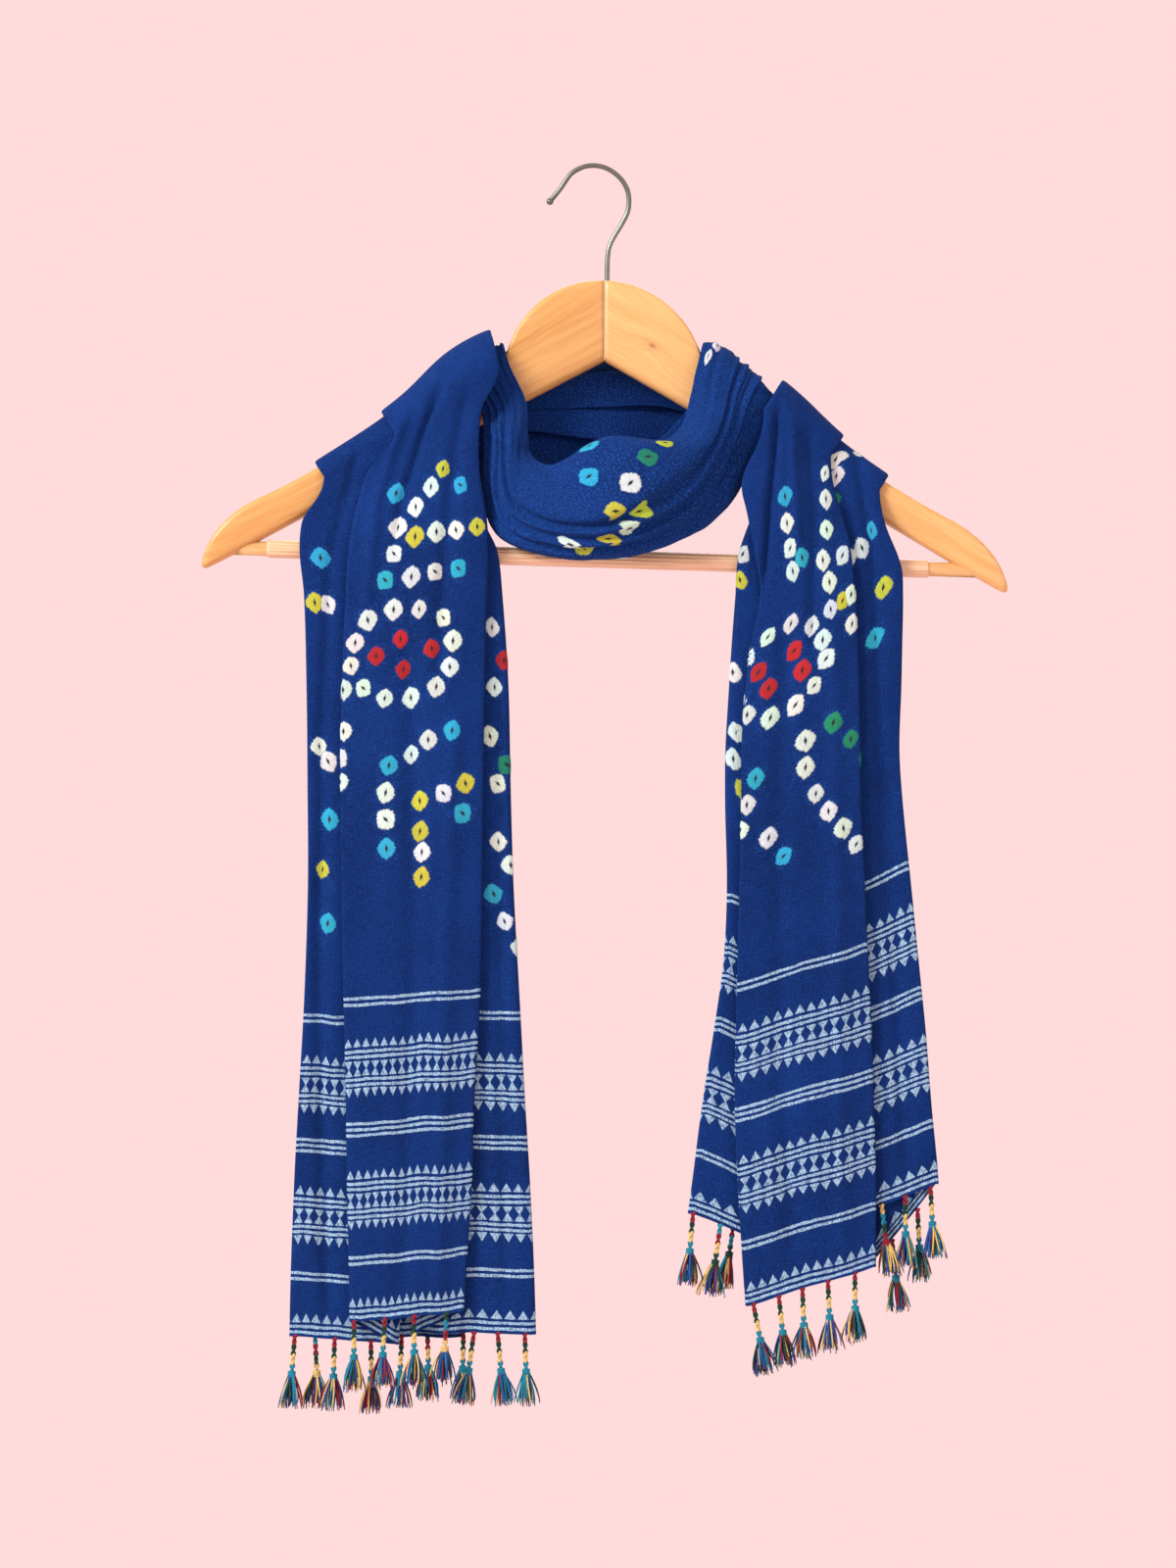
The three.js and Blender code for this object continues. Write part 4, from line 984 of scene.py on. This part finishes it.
def tassel_object(name, top, sway, forward, material, node):
    way = np.array([sway, forward, -TASSEL["stem"]], float)
    way /= np.linalg.norm(way)
    side = np.cross(way, (0, 1, 0))
    side /= np.linalg.norm(side)
    other = np.cross(way, side)
    points, faces, dyes = [], [], []

    def add(path, radii, sides, colours):
        made, new_faces = tube(path, radii, sides, len(points))
        points.extend(made)
        faces.extend(new_faces)
        for colour in colours:
            dyes.extend([colour] * sides)

    def around(angle):
        return math.cos(angle) * side + math.sin(angle) * other

    bands = STEM_BANDS[:]
    if RANDOM.random() < 0.35:
        RANDOM.shuffle(bands)
    top = top + np.array([0, 0, OVERLAP])
    for ply in (0, math.pi):
        path, radii, colours = [], [], []
        for k in range(STEM_STEPS + 1):
            t = k / STEM_STEPS
            turn = ply + t * 2 * math.pi * PLY_TURNS
            knots = 1 + 0.22 * math.cos(2 * math.pi * 4 * t)
            path.append(top + way * TASSEL["stem"] * t * 1.04 + PLY_RADIUS * around(turn))
            radii.append(STEM_RADIUS * knots)
            colours.append(YARN[bands[min(int(t * 4), 3)]])
        add(path, radii, STEM_SIDES, colours)
    head = top + way * TASSEL["stem"]
    for wrap in range(WRAPS):
        centre = head + way * (wrap * WRAP_PITCH - 0.8)
        ring = [centre + WRAP_RADIUS * around(2 * math.pi * k / (WRAP_POINTS - 1))
                for k in range(WRAP_POINTS)]
        add(ring, [WRAP_YARN] * WRAP_POINTS, WRAP_SIDES, [YARN[bands[3]]] * WRAP_POINTS)
    for strand in range(STRANDS):
        angle = RANDOM.uniform(0, 2 * math.pi)
        spread = RANDOM.uniform(0.05, 0.34) if strand % 5 else RANDOM.uniform(0.34, 0.46)
        round_way = math.cos(angle) * side + math.sin(angle) * other * 0.85
        length = TASSEL["strand"] * RANDOM.uniform(0.82, 1.06)
        root = head + round_way * RANDOM.uniform(0.2, 1.5)
        curl = RANDOM.uniform(-0.12, 0.12)
        path = []
        for k in range(len(STRAND_RADII)):
            t = k / (len(STRAND_RADII) - 1)
            bulge = spread * length * (0.25 * t + 0.75 * math.sin(t * math.pi * 0.55))
            path.append(root + way * (length * t) + round_way * bulge * 0.85
                        + side * curl * length * t * t)
            path[-1][2] -= 0.6 * t * t
        dye = YARN[RANDOM.choice(STRAND_MIX)]
        add(path, STRAND_RADII, STRAND_SIDES, [dye] * len(STRAND_RADII))
    obj = new_object(name, points, faces, material, dye=dyes)
    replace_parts(obj, node)
    return obj


# ---- The hanger

TIP_START, TIP_END = WING_TIP[0]["out"], WING_TIP[-1]["out"]
CORNER_POINTS, CORNER_RADIUS = 6, 4.2
BAR_SIDES, KNOB_RINGS, WIRE_SIDES = 96, 12, 20
BAR_END_SHRINK = {0: 0.82, 1: 0.95}
SLEEVE_GROOVES, GROOVE_DEPTH = 14, 0.28


def wing_sections():
    """(out, top, foot, half) from the middle to the tip: top and foot are measured down."""
    def foot(out):
        return FOOT_MIDDLE + FOOT_SLOPE * out

    dome = [SEAM / 2 + (NECK - SEAM / 2) * math.sin(k / 36 * math.pi / 2) for k in range(37)]
    slope = [mix(NECK, TIP_START, k / 12) for k in range(1, 12)]
    tip = [TIP_START + (TIP_END - TIP_START) * math.sin(k / 30 * math.pi / 2) for k in range(31)]
    return ([(out, DOME - math.sqrt(DOME**2 - out**2), foot(out), HALF) for out in dome]
            + [(out, shoulder_drop(out), foot(out), HALF) for out in slope]
            + [(out, *(float(read(WING_TIP, "out", out, column)) for column in ("top", "foot", "half")))
               for out in tip])


def wing_object(name, side, material, node):
    """A wing of the hanger with rounded edges, mitred in the middle."""
    points, uv = [], []
    for out, top, foot, half in wing_sections():
        radius = min(CORNER_RADIUS, half * 0.72, (foot - top) * 0.42)
        ring = []
        for (drop, y), first in (((top + radius, half - radius), 90), ((foot - radius, half - radius), 0),
                                 ((foot - radius, radius - half), -90), ((top + radius, radius - half), 180)):
            for k in range(CORNER_POINTS + 1):
                angle = math.radians(first - 90 * k / CORNER_POINTS)
                ring.append((drop - radius * math.sin(angle), y + radius * math.cos(angle)))
        for drop, y in ring:
            x = MIDDLE + side * out
            points.append((x, wood_y(x) + y, leaning(x, drop)))
            along = (out + drop * 0.6) / 1.17
            uv.append((along * MM + (0.3 if side < 0 else 0), (drop - out * 0.6) / 1.17 * MM + y * MM * 0.7))
    count = 4 * (CORNER_POINTS + 1)
    faces = ring_faces(len(points) // count, count)
    if side > 0:
        faces = [face[::-1] for face in faces]
    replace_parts(new_object(name, points, faces, material, uv=uv), node)


def on_bar(out):
    x = MIDDLE + out
    return np.array([x, -SWEEP * BAR["reach"], leaning(x, BAR["drop"])])


def bar_object(name, left, right, profile, material, node, ends=0.0):
    """A rod along the bar: `profile` gives its radius at an angle, and `ends` how long its ends round off."""
    outs = [left, left + ends * 0.4, left + ends] + list(np.linspace(left, right, 13)[1:-1])
    outs += [right - ends, right - ends * 0.4, right]
    points, uv = [], []
    for i, out in enumerate(outs):
        shrink = BAR_END_SHRINK.get(min(i, len(outs) - 1 - i), 1.0) if ends else 1.0
        centre = on_bar(out)
        for k in range(BAR_SIDES):
            angle = 2 * math.pi * k / BAR_SIDES
            radius = profile(angle) * shrink
            points.append(centre + radius * np.array([0, math.cos(angle), math.sin(angle)]))
            uv.append((out * MM, angle * 0.004))
    faces = ring_faces(len(outs), BAR_SIDES)
    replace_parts(new_object(name, points, faces, material, uv=uv), node)


def hook_object(material):
    path = curve_through([(x, 0, z) for x, z in HOOK_LINE], 7)
    points, faces = tube(path, [WIRE_RADIUS] * len(path), WIRE_SIDES, 0)
    *quads, first, last = ring_faces(KNOB_RINGS + 1, WIRE_SIDES, len(points))
    faces += [(a, d, c, b) for a, b, c, d in quads] + [first[::-1], last[::-1]]
    centre = np.array([HOOK_LINE[0][0], 0, HOOK_LINE[0][1]])
    for i in range(KNOB_RINGS + 1):
        polar = math.pi * (0.02 + 0.96 * i / KNOB_RINGS)
        for k in range(WIRE_SIDES):
            angle = 2 * math.pi * k / WIRE_SIDES
            points.append(centre + KNOB_RADIUS * np.array([
                math.sin(polar) * math.cos(angle), math.sin(polar) * math.sin(angle), math.cos(polar)]))
    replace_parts(new_object("wire_hook", points, faces, material), "hanger_hook")


# ---- The stage

MM_PER_PIXEL = 0.542
PICTURE = (1200, 1600)
ORIGIN_PIXEL = (602, 165.5)
SCALE_PLANE_Y = -0.025
CAMERA_DISTANCE = 2.6
SENSOR = 36
GROUND = (1.0, 0.710, 0.710, 1)
FLOOR_COLOURS = (0.86, 0.62, 0.62, 1), (0.82, 0.59, 0.59, 1)
FLOOR_Z, FLOOR_RADIUS = -1.12, 1.5
LIGHTS = [  # name, place, aim, size, power, colour
    ("key", (-1.9, -1.5, 1.1), (0, 0, -0.3), (1.0, 1.0), 88, (1.0, 1.0, 1.0)),
    ("fill", (1.5, -1.9, 0.1), (0, 0, -0.35), (1.4, 1.8), 10, (0.85, 0.97, 1.0)),
    ("back", (0.3, 2.0, 0.7), (0, 0, -0.3), (1.6, 1.6), 16, (0.97, 1.0, 1.0))]


def add_camera():
    camera = bpy.data.objects.new("camera", bpy.data.cameras.new("camera"))
    bpy.context.scene.collection.objects.link(camera)
    x = (PICTURE[0] / 2 - ORIGIN_PIXEL[0]) * MM_PER_PIXEL * MM
    z = -(PICTURE[1] / 2 - ORIGIN_PIXEL[1]) * MM_PER_PIXEL * MM
    camera.location = (x, SCALE_PLANE_Y - CAMERA_DISTANCE, z)
    camera.rotation_euler = (math.pi / 2, 0, 0)
    camera.data.sensor_width = SENSOR
    camera.data.lens = SENSOR * CAMERA_DISTANCE / (PICTURE[1] * MM_PER_PIXEL * MM)
    bpy.context.scene.camera = camera


def add_light(name, place, aim, size, power, colour):
    light = bpy.data.lights.new(name, "AREA")
    light.shape = "RECTANGLE"
    light.size, light.size_y = size
    light.energy = power
    light.color = colour
    obj = bpy.data.objects.new(name, light)
    obj.location = place
    obj.rotation_euler = (Vector(aim) - Vector(place)).to_track_quat("-Z", "Y").to_euler()
    bpy.context.scene.collection.objects.link(obj)


def add_stage():
    scene = bpy.context.scene
    scene.view_settings.view_transform = "Standard"
    scene.world = bpy.data.worlds.new("world")
    scene.world.use_nodes = True
    background = scene.world.node_tree.nodes["Background"]
    background.inputs["Color"].default_value = GROUND
    background.inputs["Strength"].default_value = 1.0
    for light in LIGHTS:
        add_light(*light)
    g = Graph("floor")
    spread = g.noise(g.object_position(), 3, 2.0, 0.5)
    g.surface({"Base Color": g.blend(spread, *FLOOR_COLOURS), "Roughness": 0.9})
    bpy.ops.mesh.primitive_circle_add(
        vertices=96, radius=FLOOR_RADIUS, fill_type="NGON", location=(0, 0, FLOOR_Z))
    floor = bpy.context.object
    floor.name = "floor"
    floor.data.materials.append(g.material)


# ---- Everything

def build_shawl():
    banded = cloth_material("woven_cloth_banded", 0.20, True)
    plain = cloth_material("woven_cloth", 0.62, False)
    dotted = dot_material()
    pieces = {}

    left = Cloth("shawl_left_end", crease_end(hanging_end(LEFT), LEFT_CREASES, 3), 1)
    right = Cloth("shawl_right_end", crease_end(hanging_end(RIGHT), RIGHT_CREASES, 19), -1)
    loop = Cloth("shawl_loop", crease_loop(front_loop(), 31), -1)
    inner = Cloth("shawl_behind_inner", crease_back(back_stretch(LEFT, NECK_RIGHT, BACK_INNER), 41), 1)
    outer = Cloth("shawl_behind_outer", crease_back(back_stretch(NECK_LEFT, RIGHT, BACK_OUTER), 47), -1)
    for cloth, material, node in (
            (left, banded, "shawl_end_left"), (right, banded, "shawl_end_right"),
            (loop, plain, "shawl_front_loop"), (inner, plain, "shawl_back_inner"),
            (outer, plain, "shawl_back_outer")):
        pieces[node] = cloth_object(cloth, material)
        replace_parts(pieces[node], node)
    dots = {
        "left": dots_object("dots_left", left, dot_places(left, LEFT_RINGS, LEFT_CHAINS), dotted),
        "right": dots_object("dots_right", right, dot_places(right, RIGHT_RINGS, RIGHT_CHAINS), dotted),
        "loop": dots_object("dots_loop", loop, fraction_places(loop, LOOP_CHAINS), dotted),
        "inner": dots_object("dots_behind_inner", inner, fraction_places(inner, BACK_CHAINS), dotted),
        "outer": dots_object("dots_behind_outer", outer, fraction_places(outer, BACK_CHAINS), dotted)}
    return pieces, dots


def build_tassels():
    yarn = yarn_material()
    tassels = {"left": [], "right": []}
    for side, end in (("left", LEFT), ("right", RIGHT)):
        for i, (layer, x, sway) in enumerate(TASSELS[side]):
            forward = (0.5 - LAYERS[layer][0]) * STEP["loose"]
            top = hem_point(end, layer, x)
            node = f"tassel_{side}_{i + 1}"
            tassels[side].append(tassel_object(f"yarn_{side}_{i + 1}", top, sway, forward, yarn, node))
    return tassels


def ribbed(angle):
    """The radius of the bar's sleeve at an angle."""
    return BAR["sleeve"] - GROOVE_DEPTH * (0.5 + 0.5 * math.cos(SLEEVE_GROOVES * angle)) ** 3


def build_hanger():
    # The wings share one wood, painted darker on the left wing as painted shade and paler on the right wing
    # as painted light from the key lamp; the knot on the right wing is the wood's own mark.
    wood_painted_shade = wood_material("wood_left_painted_shade", (0.66, 0.37, 0.115, 1), (0.50, 0.235, 0.055, 1))
    wood_painted_light = wood_material("wood_right_painted_light", (0.74, 0.45, 0.17, 1), (0.58, 0.30, 0.085, 1), knot=(0.0413, 0.0127))
    dowel = wood_material("wood_bar", (0.68, 0.42, 0.18, 1), (0.50, 0.27, 0.09, 1))
    wing_object("wing_left", -1, wood_painted_shade, "hanger_wing_left")
    wing_object("wing_right", 1, wood_painted_light, "hanger_wing_right")
    bar_object("bar", -BAR["reach"], BAR["reach"], lambda angle: BAR["radius"], dowel, "hanger_bar")
    bar_object("bar_sleeve", BAR["left"], BAR["right"], ribbed, sleeve_material(),
               "hanger_sleeve", ends=1.2)
    hook_object(wire_material())


add_camera()
add_stage()
shawl, shawl_dots = build_shawl()
shawl_tassels = build_tassels()
build_hanger()

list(shawl_tassels["left"])
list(shawl_tassels["right"])
